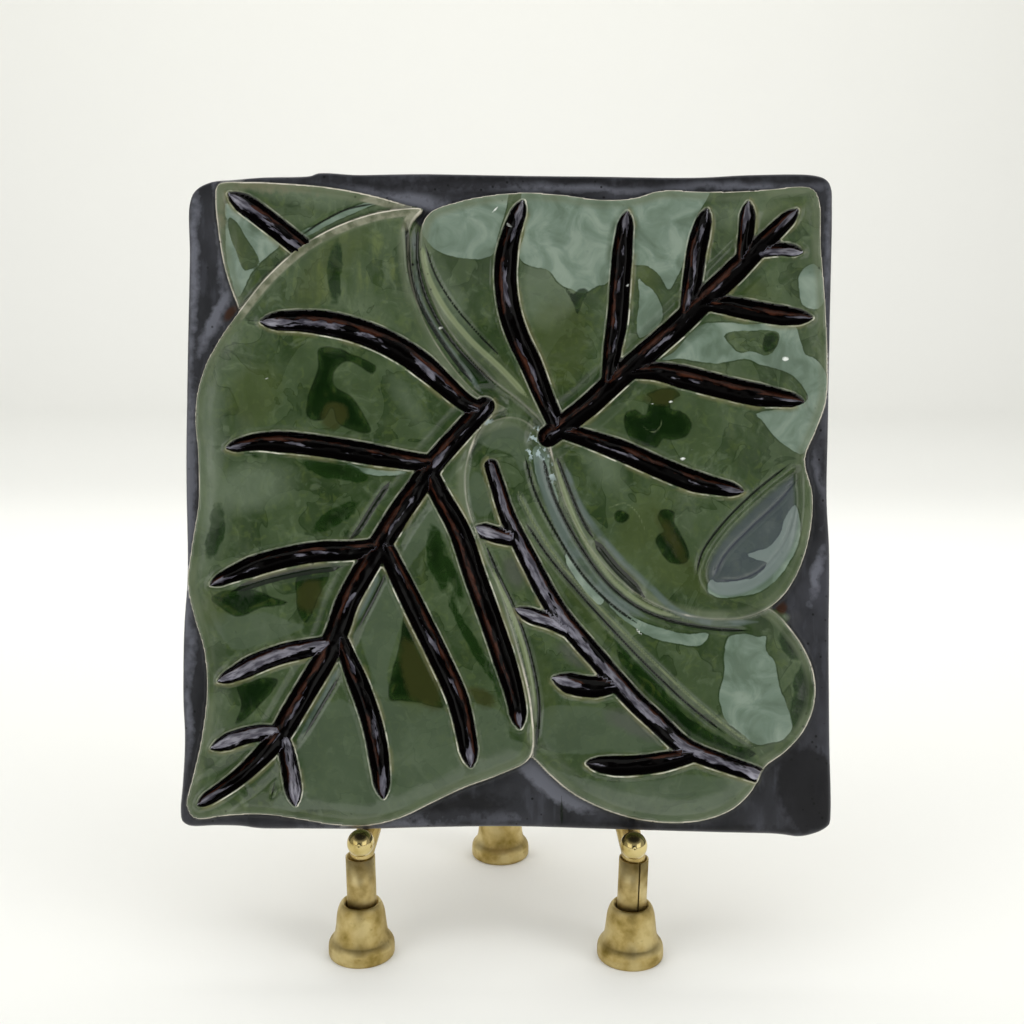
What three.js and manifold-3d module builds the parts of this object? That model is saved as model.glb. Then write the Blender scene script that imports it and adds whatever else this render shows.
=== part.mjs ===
// A square relief tile of glazed stoneware, carved with overlapping leaves, on a brass tripod stand.
// Millimetres, +Z up, and the tile faces -Y.
import * as THREE from 'three';
import { mergeVertices } from 'three/addons/utils/BufferGeometryUtils.js';
import Module from 'manifold-3d';

const wasm = await Module();
wasm.setup();

// The gap between faces that touch on the real object
const fit = 0.3;

// The tile, and the sheet that its carving is drawn on, whose base line lies a little above the lowest edge
const tileWidth = 153.4;
const tileHeight = 155.4;
const slabThickness = 8.6;
const carving = { width: 153.4, height: 155.4 };
const baseLine = 0.5;

// How far each leaf stands above the sunk ground, and how its edge is rounded
const leafRise = { left: 2.6, upper: 2.6, lower: 1.7, corner: 1.5 };
const leafEdge = 0.6;
const foldedTipDepth = 1.5;

// The veins are cut with a round-nosed gouge, and the main veins have a wide shallow shoulder
const gouge = { width: 5.2, depth: 2.4 };
const twigGouge = { width: 4, depth: 1.8 };
const shoulder = { width: 10.5, depth: 0.8 };
const crease = { width: 2, depth: 1 };

// The stand's three feet
const frontFeetSpacing = 66.6;
const rearFootReach = 55;
const bellDiameter = 16.6;
const bellHeight = 13.75;
const bellBoreDepth = 6;

// The rolled tube collar in each foot
const sleeveDiameter = 7.2;
const sleeveWall = 0.4;
const sleeveTop = 25.8;
const seamGap = 0.5;

// The rods and the knob that they meet in. The front two lean back with the tile and splay from each other,
// and use has racked them to the right, so their collars stand a little out of plumb.
const rodDiameter = 5.8;
const lean = THREE.MathUtils.degToRad(12.6);
const splay = THREE.MathUtils.degToRad(15);
const rack = THREE.MathUtils.degToRad(1.3);
const bendAboveSleeve = 0.6;
const tenon = { diameter: 3.6, length: 7 };
const knobDrop = 18;
const knobHeight = 11.5;
const knobWall = 1.2;
const finialDiameter = 6;

// The pegs that carry the tile
const pegHeight = 6.5;
const pegDiameter = 3;
const ballDiameter = 6.3;
const ballStandoff = 5.7;
const pegTenon = { diameter: 2.2, length: 2 };

// Numbers of facets round a turned piece and a rod, and of steps along a stroke of the gouge
const roundSides = 18;
const rodSides = 10;
const mainSteps = 10;
const sideSteps = 5;

const glaze = new THREE.MeshStandardMaterial({ color: '#4b5a45', roughness: 0.2, metalness: 0 });
const brass = new THREE.MeshStandardMaterial({ color: '#b9a46a', roughness: 0.32, metalness: 1 });

const rodRadius = rodDiameter / 2;
const halfSpacing = frontFeetSpacing / 2;
const boreFloor = bellHeight - bellBoreDepth;
const bendHeight = sleeveTop + bendAboveSleeve;
const leanUp = new THREE.Vector3(0, Math.sin(lean), Math.cos(lean));

// Where the front rods bend, and where their straight lines meet
const rackShift = (bendHeight - boreFloor) * Math.tan(rack);
const apexHeight = frontFeetSpacing / (Math.tan(splay + rack) + Math.tan(splay - rack));
const apexAcross = rackShift - halfSpacing + apexHeight * Math.tan(splay + rack);
const apex = new THREE.Vector3(apexAcross, 0, bendHeight).addScaledVector(leanUp, apexHeight);

// Solids for cutting and joining
function toSolid(geometry, place = new THREE.Matrix4()) {
  const bare = geometry.clone().applyMatrix4(place);
  bare.deleteAttribute('normal');
  bare.deleteAttribute('uv');
  const merged = mergeVertices(bare, 1e-4);
  const corners = merged.index.array;
  const kept = [];
  for (let i = 0; i < corners.length; i += 3) {
    const [a, b, c] = [corners[i], corners[i + 1], corners[i + 2]];
    if (a !== b && b !== c && c !== a) kept.push(a, b, c);
  }
  return new wasm.Manifold(new wasm.Mesh({
    numProp: 3,
    vertProperties: new Float32Array(merged.attributes.position.array),
    triVerts: new Uint32Array(kept),
  }));
}

function toGeometry(solid) {
  const { vertProperties, triVerts } = solid.getMesh();
  const geometry = new THREE.BufferGeometry();
  geometry.setAttribute('position', new THREE.BufferAttribute(new Float32Array(vertProperties), 3));
  geometry.setIndex(new THREE.BufferAttribute(new Uint32Array(triVerts), 1));
  geometry.computeVertexNormals();
  return geometry;
}

function named(name, geometry, material) {
  const mesh = new THREE.Mesh(geometry, material);
  mesh.name = name;
  return mesh;
}

// A matrix that stands a shape's own Z axis along a direction, at a place
function standing(direction, place) {
  const turn = new THREE.Quaternion().setFromUnitVectors(new THREE.Vector3(0, 0, 1), direction.clone().normalize());
  return new THREE.Matrix4().compose(place, turn, new THREE.Vector3(1, 1, 1));
}

// A turned shape about Z, from a profile of [radius, height] points
function turned(profile, sides) {
  const points = profile.map(([radius, height]) => new THREE.Vector2(radius, height));
  return new THREE.LatheGeometry(points, sides).rotateX(Math.PI / 2);
}

function pin(radius, from, to) {
  return turned([[0, from], [radius, from], [radius, to], [0, to]], rodSides);
}

// A curve that a sweep follows from one given point to the next
class Route extends THREE.CatmullRomCurve3 {
  getPointAt(share, target) {
    return this.getPoint(share, target);
  }

  getTangentAt(share, target) {
    return this.getTangent(share, target);
  }
}

function swept(section, points) {
  const extrudePath = new Route(points, false, 'centripetal');
  return new THREE.ExtrudeGeometry(section, { steps: points.length - 1, extrudePath });
}

// The tile's own frame: X across from the stand's middle, Y up from the lower edge, Z out from its back
function onTile([across, up], out = 0) {
  return new THREE.Vector3(across * tileWidth / carving.width, up * tileHeight / carving.height, out);
}

function outlineShape(points, samplesPerPoint) {
  const loop = new THREE.CatmullRomCurve3(points.map((point) => onTile(point)), true, 'centripetal');
  const samples = loop.getPoints(samplesPerPoint * points.length).slice(0, -1);
  return new THREE.Shape(samples.map(({ x, y }) => new THREE.Vector2(x, y)));
}

// A flat slab between two levels, with a chamfered upper edge where one is given
function plate(points, bottom, top, chamfer = 0) {
  const geometry = new THREE.ExtrudeGeometry(outlineShape(points, 2), {
    depth: top - bottom - 2 * chamfer,
    bevelEnabled: chamfer > 0,
    bevelThickness: chamfer,
    bevelSize: chamfer,
    bevelOffset: -chamfer,
    bevelSegments: 1,
  });
  return toSolid(geometry.translate(0, 0, bottom + chamfer));
}

// The gouge's section, with X into the clay from its floor and Y across
function gougeSection({ width, depth }) {
  const top = -(depth + leafRise.left);
  return new THREE.Shape([
    new THREE.Vector2(top, -0.57 * width),
    new THREE.Vector2(-0.4 * depth, -0.4 * width),
    new THREE.Vector2(0, -0.15 * width),
    new THREE.Vector2(0, 0.15 * width),
    new THREE.Vector2(-0.4 * depth, 0.4 * width),
    new THREE.Vector2(top, 0.57 * width),
  ]);
}

// One stroke of the gouge along a curve, which lifts out of the clay over its last stretch
function stroke(curve, surface, cut, steps, lift = 0.5) {
  const points = [];
  for (let i = 0; i <= steps; i += 1) {
    const share = i / steps;
    const rise = THREE.MathUtils.smoothstep(share, 0.8, 1) * lift * cut.depth;
    const { x, y } = curve.getPointAt(share);
    points.push(new THREE.Vector3(x, y, surface - cut.depth + rise));
  }
  return toSolid(swept(gougeSection(cut), points));
}

function curveThrough(points) {
  return new THREE.CatmullRomCurve3(points.map((point) => onTile(point)), false, 'centripetal');
}

// A side vein leaves its main vein at a share of its length and bows to the left on its way to the tip
function sideVein(main, { at, tip, bow }) {
  const from = main.getPointAt(at);
  const to = onTile(tip);
  const along = to.clone().sub(from).normalize();
  const left = new THREE.Vector3(-along.y, along.x, 0);
  const middle = from.clone().lerp(to, 0.5).addScaledVector(left, 2 * bow * tileWidth / carving.width);
  return new THREE.QuadraticBezierCurve3(from, middle, to);
}

const tileOutline = [
  [-72.6, -0.1], [-66, 0], [-60, -0.1], [-56, -0.6], [-46, -0.6], [-31, -0.5], [-13, 0.1], [5, 0.4], [24, 0],
  [55, -0.6], [67, -0.9], [71.6, -1.4], [74.4, -0.9], [77.4, 0.3], [78.8, 1.6], [79.1, 4], [78.8, 21], [78.6, 45],
  [78.7, 66], [78.1, 78], [78.4, 97], [78.9, 125], [79.3, 148], [79.1, 152.4], [78, 154.4], [75.5, 155.4],
  [60, 155.5], [46, 154.8], [25, 155], [0, 155.2], [-20, 155.5], [-35, 155.2], [-41, 155.6], [-43.8, 155.5],
  [-45.2, 154.9], [-57, 154.5], [-64, 153.9], [-69, 153.4], [-72.6, 151.6], [-74.2, 148.4], [-74.1, 135],
  [-74.3, 110], [-74.3, 85], [-73.7, 59], [-74.3, 47], [-74.3, 30], [-73.8, 20], [-74.2, 9], [-74.6, 4], [-74.2, 1],
];

const leaves = {
  left: [
    [-18, 146.3], [-26, 146], [-33, 144.3], [-41, 141], [-48, 136.5], [-55, 130], [-61, 122.5], [-66, 115.5],
    [-70, 107.5], [-71.8, 98], [-71, 88], [-70.7, 77], [-72.2, 66], [-73, 57], [-71.3, 49], [-69, 41.5],
    [-68.2, 32], [-69.3, 21], [-71.2, 12], [-72.6, 5], [-70.8, 2.1], [-63, 2.7], [-55, 3.1], [-46, 2],
    [-37, 0.7], [-29, 0.8], [-22, 2.6], [-15, 6], [-7, 9.8], [1, 12.8], [8.3, 17], [8.6, 28], [5.5, 42],
    [1.5, 55], [-3, 66], [-7, 78], [-6.5, 88], [-2, 97], [2, 99], [-4.5, 102.5], [-11, 109.5], [-16.5, 118],
    [-20.2, 128], [-21.3, 137], [-20.5, 143],
  ],
  upper: [
    [-17, 145.2], [-10, 148.2], [-3, 149.7], [6, 150.5], [15, 150], [25, 148.8], [32, 149.3], [38, 151],
    [50, 150.8], [62, 151.3], [74, 151.8], [75.8, 149], [76.2, 138], [77.2, 125], [77.8, 110], [77.4, 101],
    [75, 94], [72.5, 87.5], [74.3, 79], [73.5, 69], [70.5, 60], [66, 53.8], [60, 50.5], [53, 49.5],
    [44, 50.5], [36, 53.5], [28, 59], [21, 67], [16, 76], [13, 86], [10.5, 95], [5, 100.5], [-2, 106],
    [-9, 113.5], [-14.5, 121.5], [-18, 131], [-19, 139],
  ],
  lower: [
    [8.3, 17], [13, 12.5], [18, 8.5], [25, 5], [33, 2.6], [41, 1.8], [49, 2.5], [56, 5.3], [60.5, 9.8],
    [63, 14.8], [68, 18.6], [72.3, 23.5], [74.9, 30], [74.8, 37], [72.5, 43], [69, 48], [65, 52], [50, 58],
    [25, 75], [5, 97], [-5, 92], [-6, 75], [0, 58], [5, 40], [7.5, 28],
  ],
  corner: [
    [-67.3, 152.3], [-60, 153], [-50, 152.6], [-40, 151.7], [-30, 149.8], [-22, 147.6], [-18, 146.3],
    [-30, 140], [-50, 128], [-60, 119], [-62.5, 124], [-65.3, 132], [-67, 141], [-67.8, 149],
  ],
};

const foldedTip = [
  [71, 86], [66, 83], [59, 77], [52, 69.5], [48.3, 63], [48, 59], [50.5, 55.5], [55, 54.6], [61, 56.5],
  [66.5, 61], [70.3, 67.5], [71.8, 75], [71.8, 81],
];

const veins = [
  {
    leaf: 'left', cut: gouge, shouldered: true,
    main: [[-2, 99.5], [-16, 84.5], [-29, 66], [-37, 48], [-44, 34.5], [-51, 22.5], [-60, 13], [-70, 5.6]],
    sides: [
      { at: 0.03, tip: [-57, 119.7], bow: -8.3 },
      { at: 0.16, tip: [-63.5, 89.2], bow: -2.8 },
      { at: 0.37, tip: [-67, 57.5], bow: -3 },
      { at: 0.57, tip: [-65, 35], bow: -2.3 },
      { at: 0.77, tip: [-67, 19.5], bow: -1.5 },
      { at: 0.785, tip: [-47.5, 6.3], bow: 0.5 },
      { at: 0.555, tip: [-26.3, 8.5], bow: 2.2 },
      { at: 0.36, tip: [-5.3, 17], bow: 2.7 },
      { at: 0.18, tip: [5.7, 24.5], bow: 2.1 },
    ],
  },
  {
    leaf: 'upper', cut: gouge, shouldered: true,
    main: [[12, 92.5], [22, 101.5], [32, 110.5], [42, 119.5], [50, 127], [60, 137.5], [70, 146.5]],
    sides: [
      { at: 0.03, tip: [5.5, 147.5], bow: 7.3 },
      { at: 0.245, tip: [30.2, 145.2], bow: 0.3 },
      { at: 0.545, tip: [48.8, 145], bow: 0.4 },
      { at: 0.79, tip: [58.8, 147.2], bow: 0 },
      { at: 0.835, tip: [71, 136.3], bow: 0.5 },
      { at: 0.62, tip: [73, 120.8], bow: 0 },
      { at: 0.32, tip: [71.5, 101], bow: -0.5 },
      { at: 0.03, tip: [56.5, 80.3], bow: -1.6 },
    ],
  },
  {
    leaf: 'lower', cut: twigGouge, shouldered: false,
    main: [[-1.5, 85], [1, 76], [5, 66.5], [11, 57.5], [18, 47.5], [26, 37], [35, 29], [43, 21], [51, 17.3], [62, 13.8]],
    sides: [
      { at: 0.17, tip: [-5, 71.3], bow: 0 },
      { at: 0.44, tip: [4.5, 51.5], bow: 0.5 },
      { at: 0.575, tip: [13.5, 35.6], bow: 2 },
      { at: 0.81, tip: [23.5, 15.3], bow: 2.3 },
    ],
  },
  {
    leaf: 'corner', cut: gouge, shouldered: false,
    main: [[-47.5, 138.3], [-56, 144.5], [-63.5, 149.5]],
    sides: [],
  },
];

// Creases beside the folds where one leaf passes under the next
const creases = [
  { leaf: 'upper', route: [[-18.5, 141], [-17, 131], [-12, 119.5], [-5, 111.5], [3, 104.5]] },
  { leaf: 'upper', route: [[15.5, 88], [19.5, 79], [24.5, 70], [31, 62], [39, 56]] },
  { leaf: 'lower', route: [[8.5, 88], [10.5, 79], [15.5, 68.5], [23, 58], [32, 51], [43, 47], [57, 46.5]] },
  { leaf: 'lower', route: [[5, 82], [9, 70], [17, 57], [27, 45], [38, 34], [49, 25], [58, 20]] },
];

function carvedTile() {
  const surface = Object.fromEntries(Object.entries(leafRise).map(([leaf, rise]) => [leaf, slabThickness + rise]));
  const highest = Math.max(...Object.values(surface));
  let leafage = null;
  for (const [leaf, points] of Object.entries(leaves)) {
    const solid = plate(points, slabThickness / 2, surface[leaf], leafEdge);
    leafage = leafage ? leafage.add(solid) : solid;
  }
  let tile = plate(tileOutline, 0, slabThickness).add(leafage.intersect(plate(tileOutline, 0, highest + 1)));
  for (const { leaf, cut, shouldered, main, sides } of veins) {
    const stem = curveThrough(main);
    if (shouldered) tile = tile.subtract(stroke(stem, surface[leaf], shoulder, mainSteps));
    tile = tile.subtract(stroke(stem, surface[leaf], cut, mainSteps));
    for (const side of sides) {
      tile = tile.subtract(stroke(sideVein(stem, side), surface[leaf], cut, sideSteps));
    }
  }
  for (const { leaf, route } of creases) {
    tile = tile.subtract(stroke(curveThrough(route), surface[leaf], crease, mainSteps));
  }
  tile = tile.subtract(plate(foldedTip, surface.upper - foldedTipDepth, highest + 1));
  return toGeometry(tile);
}

// The bell foot's outer profile in shares of its radius and height, above a plain round flange
function bellFoot() {
  const radius = bellDiameter / 2;
  const boreRadius = sleeveDiameter / 2 + fit;
  const rimRadius = Math.max(0.57 * radius, boreRadius + fit);
  const outside = [
    [1, 0.02], [1, 0.18], [0.965, 0.25], [0.863, 0.33], [0.8, 0.41], [0.74, 0.7], [0.685, 0.88], [0.63, 0.955],
  ];
  return turned([
    [0, 0],
    [0.96 * radius, 0],
    ...outside.map(([across, up]) => [Math.max(across * radius, rimRadius), up * bellHeight]),
    [rimRadius, bellHeight],
    [boreRadius, bellHeight],
    [boreRadius, boreFloor],
    [0, boreFloor],
  ], roundSides);
}

// A sheet rolled into a collar, whose edges leave an open seam towards -Y, from the floor of the bell's bore
function sleeve() {
  const outer = sleeveDiameter / 2;
  const inner = outer - sleeveWall;
  const halfSeam = seamGap / 2 / outer;
  const section = new THREE.Shape();
  section.absarc(0, 0, outer, -Math.PI / 2 + halfSeam, 1.5 * Math.PI - halfSeam, false);
  section.absarc(0, 0, inner, 1.5 * Math.PI - halfSeam, -Math.PI / 2 + halfSeam, true);
  return new THREE.ExtrudeGeometry(section, {
    depth: sleeveTop - boreFloor - fit,
    bevelEnabled: false,
    curveSegments: rodSides,
  }).translate(0, 0, fit);
}

// Where a leg's axis crosses a height, on its way from its bend to the apex
function axisAt(bend, height) {
  return bend.clone().lerp(apex, (height - bend.z) / (apex.z - bend.z));
}

const knobBase = apex.z - knobDrop;

function legDirection(bend) {
  return apex.clone().sub(bend).normalize();
}

// A rod that stands in its sleeve, bends above it and ends in a tenon inside the knob
function leg({ foot, bend }) {
  const direction = legDirection(bend);
  const upright = bend.clone().sub(foot).normalize();
  const entry = axisAt(bend, knobBase);
  const tilt = direction.angleTo(new THREE.Vector3(0, 0, 1));
  const shoulderPlace = entry.clone().addScaledVector(direction, -(rodRadius * Math.tan(tilt) + fit));
  const points = [
    foot.clone().addScaledVector(upright, fit),
    bend.clone().addScaledVector(upright, -bendAboveSleeve / 2),
    bend.clone().addScaledVector(direction, bendAboveSleeve / 2),
    shoulderPlace,
  ];
  const section = new THREE.Shape().absarc(0, 0, rodRadius, 0, 2 * Math.PI, false);
  const rod = new THREE.ExtrudeGeometry(section, {
    steps: points.length - 1,
    curveSegments: rodSides,
    extrudePath: new Route(points, false, 'centripetal'),
  });
  const tenonPin = pin(tenon.diameter / 2, -1, entry.distanceTo(shoulderPlace) + tenon.length);
  return toSolid(rod).add(toSolid(tenonPin, standing(direction, shoulderPlace)));
}

// Each leg stands on the floor of its foot's bore, and bends above its collar
function stance(across, back, shift) {
  return {
    foot: new THREE.Vector3(across, back, boreFloor),
    bend: new THREE.Vector3(across + shift, back, bendHeight),
  };
}

const stances = {
  left: stance(-halfSpacing, 0, rackShift),
  right: stance(halfSpacing, 0, rackShift),
  rear: stance(0, rearFootReach, 0),
};

// The leaning frame has its origin between the front bends, Y up the lean and Z out through the tile
const leaningFrame = new THREE.Matrix4().makeRotationX(Math.PI / 2 - lean).setPosition(0, 0, bendHeight);
const tileBack = rodRadius + fit;
const ballReach = tileBack + slabThickness + ballStandoff;
const tenonFloor = rodRadius - fit - pegTenon.length;

// A peg's place in the leaning frame, on the middle line of its rod
function pegPlace({ bend }) {
  return new THREE.Vector3(THREE.MathUtils.lerp(bend.x, apex.x, pegHeight / apexHeight), pegHeight, 0);
}

function frontLeg(stood) {
  const hole = pin(pegTenon.diameter / 2 + fit, tenonFloor - fit, rodDiameter);
  const place = leaningFrame.clone().multiply(new THREE.Matrix4().setPosition(pegPlace(stood)));
  return toGeometry(leg(stood).subtract(toSolid(hole, place)));
}

// A turned peg: a tenon in the rod, a plain shank under the tile and a ball at the end
function peg() {
  const shank = pegDiameter / 2;
  const ball = ballDiameter / 2;
  const neck = Math.asin(Math.min(shank / ball, 0.95));
  const profile = [[0, tenonFloor], [pegTenon.diameter / 2, tenonFloor]];
  profile.push([pegTenon.diameter / 2, rodRadius + fit], [shank, rodRadius + fit]);
  const rings = 7;
  for (let i = 0; i < rings; i += 1) {
    const angle = THREE.MathUtils.lerp(neck, Math.PI, i / rings);
    profile.push([ball * Math.sin(angle), ballReach - ball * Math.cos(angle)]);
  }
  profile.push([0, ballReach + ball]);
  return turned(profile, roundSides);
}

// The knob: a low dome with a ball on top, sockets for the three tenons and a flat towards the tile
function topKnob() {
  const entries = Object.values(stances).map(({ bend }) => axisAt(bend, knobBase));
  const [left, right, rear] = entries;
  const centre = new THREE.Vector3((left.x + right.x) / 2, (left.y + rear.y) / 2, knobBase);
  const reach = Math.max(...entries.map((entry) => entry.distanceTo(centre)));
  const radius = reach + tenon.diameter / 2 + fit + knobWall;
  const ball = finialDiameter / 2;
  const neck = Math.asin(0.6);
  const profile = [[0, 0], [radius, 0], [radius, 0.3 * knobHeight]];
  for (const share of [0.25, 0.5, 0.75]) {
    const angle = share * Math.PI / 2;
    profile.push([radius * Math.cos(angle), knobHeight * (0.3 + 0.7 * Math.sin(angle))]);
  }
  profile.push([ball * Math.sin(neck), knobHeight]);
  const ballCentre = knobHeight + ball * Math.cos(neck);
  const rings = 6;
  for (let i = 1; i < rings; i += 1) {
    const angle = THREE.MathUtils.lerp(neck, Math.PI, i / rings);
    profile.push([ball * Math.sin(angle), ballCentre - ball * Math.cos(angle)]);
  }
  profile.push([0, ballCentre + ball]);
  let knob = toSolid(turned(profile, roundSides), new THREE.Matrix4().setPosition(centre));
  for (const { bend } of Object.values(stances)) {
    const socket = pin(tenon.diameter / 2 + fit, -2 * rodRadius, tenon.length + fit);
    knob = knob.subtract(toSolid(socket, standing(legDirection(bend), axisAt(bend, knobBase))));
  }
  const side = 2 * (knobDrop + knobHeight + finialDiameter + radius);
  const front = new THREE.BoxGeometry(side, side, side).translate(apex.x, apexHeight, side / 2 + rodRadius);
  return toGeometry(knob.subtract(toSolid(front, leaningFrame)));
}

const part = new THREE.Group();

for (const [side, { foot, bend }] of Object.entries(stances)) {
  const bell = named(`bell_foot_${side}`, bellFoot(), brass);
  bell.position.set(foot.x, foot.y, 0);
  const collar = named(`sleeve_${side}`, sleeve(), brass);
  collar.rotation.z = THREE.MathUtils.degToRad({ left: -130, right: 20, rear: 180 }[side]);
  const socket = new THREE.Group();
  socket.position.copy(foot);
  socket.rotation.y = Math.atan2(bend.x - foot.x, bend.z - foot.z);
  socket.add(collar);
  part.add(bell, socket);
}

part.add(named('leg_left', frontLeg(stances.left), brass));
part.add(named('leg_right', frontLeg(stances.right), brass));
part.add(named('leg_rear', toGeometry(leg(stances.rear)), brass));
part.add(named('top_knob', topKnob(), brass));

const leaning = new THREE.Group();
leaning.position.z = bendHeight;
leaning.rotation.x = Math.PI / 2 - lean;
for (const side of ['left', 'right']) {
  const mesh = named(`peg_${side}`, peg(), brass);
  mesh.position.copy(pegPlace(stances[side]));
  leaning.add(mesh);
}
const tile = named('tile', carvedTile(), glaze);
tile.position.set(0, pegHeight + pegDiameter / 2 + fit + baseLine, tileBack);
leaning.add(tile);
part.add(leaning);

// The origin is on the ground under the middle of the whole object's box
part.updateMatrixWorld(true);
const box = new THREE.Box3().setFromObject(part, true);
part.position.set(-(box.min.x + box.max.x) / 2, -(box.min.y + box.max.y) / 2, -box.min.z);

export default part;
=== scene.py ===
import math

import bmesh
import bpy
import numpy as np
from mathutils import Euler, Matrix, Vector


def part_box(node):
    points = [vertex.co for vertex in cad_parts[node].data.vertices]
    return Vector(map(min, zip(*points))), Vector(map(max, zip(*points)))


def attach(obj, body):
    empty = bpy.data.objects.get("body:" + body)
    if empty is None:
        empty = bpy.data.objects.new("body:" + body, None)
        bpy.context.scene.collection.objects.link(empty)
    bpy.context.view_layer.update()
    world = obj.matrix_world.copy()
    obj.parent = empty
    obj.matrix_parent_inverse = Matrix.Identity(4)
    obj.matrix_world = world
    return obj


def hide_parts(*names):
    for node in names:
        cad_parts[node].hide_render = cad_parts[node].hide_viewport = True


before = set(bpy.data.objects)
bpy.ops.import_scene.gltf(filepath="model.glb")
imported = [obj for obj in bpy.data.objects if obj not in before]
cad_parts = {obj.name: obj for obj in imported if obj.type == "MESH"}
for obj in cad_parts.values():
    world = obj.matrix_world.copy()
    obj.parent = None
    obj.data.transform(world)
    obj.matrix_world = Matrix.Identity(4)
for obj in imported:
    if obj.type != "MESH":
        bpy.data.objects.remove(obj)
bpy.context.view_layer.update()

# The three bell feet
# Solid turned brass with a flange, a bell-shaped body and a dished top that the collar stands in.
# They were turned on a lathe, lacquered once, and are now dull, with brown spots where hands have been.
MM = 0.001


def box_mm(node):
    """The lowest and highest corners of a solid of the frame, in millimetres."""
    low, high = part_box(node)
    return np.array(low) / MM, np.array(high) / MM


def spline(points, step, closed=False):
    """A smooth line through the points, sampled about every step, as a drawn curve would be inked."""
    points = [np.array(point, float) for point in points]
    if closed:
        points = [points[-1]] + points + points[:2]
    else:
        points = [2 * points[0] - points[1]] + points + [2 * points[-1] - points[-2]]
    line = []
    for before, start, end, after in zip(points, points[1:], points[2:], points[3:]):
        knots = np.cumsum([0] + [max(np.linalg.norm(b - a), 1e-6) ** 0.5 for a, b in
                                 ((before, start), (start, end), (end, after))])
        count = max(1, round(np.linalg.norm(end - start) / step))
        at = (knots[1] + (knots[2] - knots[1]) * np.arange(count) / count)[:, None]

        def blend(a, b, low, high):
            return ((high - at) * a + (at - low) * b) / (high - low)

        first = blend(before, start, knots[0], knots[1])
        second = blend(start, end, knots[1], knots[2])
        third = blend(end, after, knots[2], knots[3])
        line.append(blend(blend(first, second, knots[0], knots[2]), blend(second, third, knots[1], knots[3]),
                          knots[1], knots[2]))
    if not closed:
        line.append(points[-2][None])
    return np.concatenate(line)


def mesh_object(name, vertices, faces, smooth=True):
    mesh = bpy.data.meshes.new(name)
    mesh.from_pydata(vertices, [], faces)
    mesh.polygons.foreach_set("use_smooth", [smooth] * len(mesh.polygons))
    mesh.update()
    thing = bpy.data.objects.new(name, mesh)
    bpy.context.scene.collection.objects.link(thing)
    return thing


def turned(name, profile, sides=96):
    """A closed turned piece about Z, from (radius, height) points in millimetres that start and end on the axis."""
    angles = 2 * math.pi * np.arange(sides) / sides
    vertices = [(0, 0, profile[0][1] * MM)]
    for radius, height in profile[1:-1]:
        vertices += [(radius * MM * math.cos(a), radius * MM * math.sin(a), height * MM) for a in angles]
    vertices.append((0, 0, profile[-1][1] * MM))
    last = len(vertices) - 1
    faces = []
    for i in range(sides):
        j = (i + 1) % sides
        faces.append((0, 1 + j, 1 + i))
        for ring in range(len(profile) - 3):
            low = 1 + ring * sides
            faces.append((low + i, low + j, low + sides + j, low + sides + i))
        top = last - sides
        faces.append((last, top + i, top + j))
    return mesh_object(name, vertices, faces)


def add(tree, kind, inputs=(), **settings):
    """Adds a node with its settings, and sets or links each input that is given."""
    node = tree.nodes.new(kind)
    for name, value in settings.items():
        setattr(node, name, value)
    for socket, value in dict(inputs).items():
        if isinstance(value, bpy.types.NodeSocket):
            tree.links.new(value, node.inputs[socket])
        else:
            node.inputs[socket].default_value = value
    return node


def colour(hex_value):
    """The linear colour of an sRGB hex value."""
    channels = [int(hex_value[i:i + 2], 16) / 255 for i in (1, 3, 5)]
    return (*(c / 12.92 if c <= 0.04045 else ((c + 0.055) / 1.055) ** 2.4 for c in channels), 1)


def ramp(tree, factor, stops, interpolation="LINEAR"):
    """A colour ramp of (position, hex colour) stops."""
    node = add(tree, "ShaderNodeValToRGB", {"Fac": factor})
    node.color_ramp.interpolation = interpolation
    elements = node.color_ramp.elements
    while len(elements) < len(stops):
        elements.new(0.5)
    for element, (position, value) in zip(elements, stops):
        element.position = position
        element.color = colour(value)
    return node.outputs["Color"]


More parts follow.
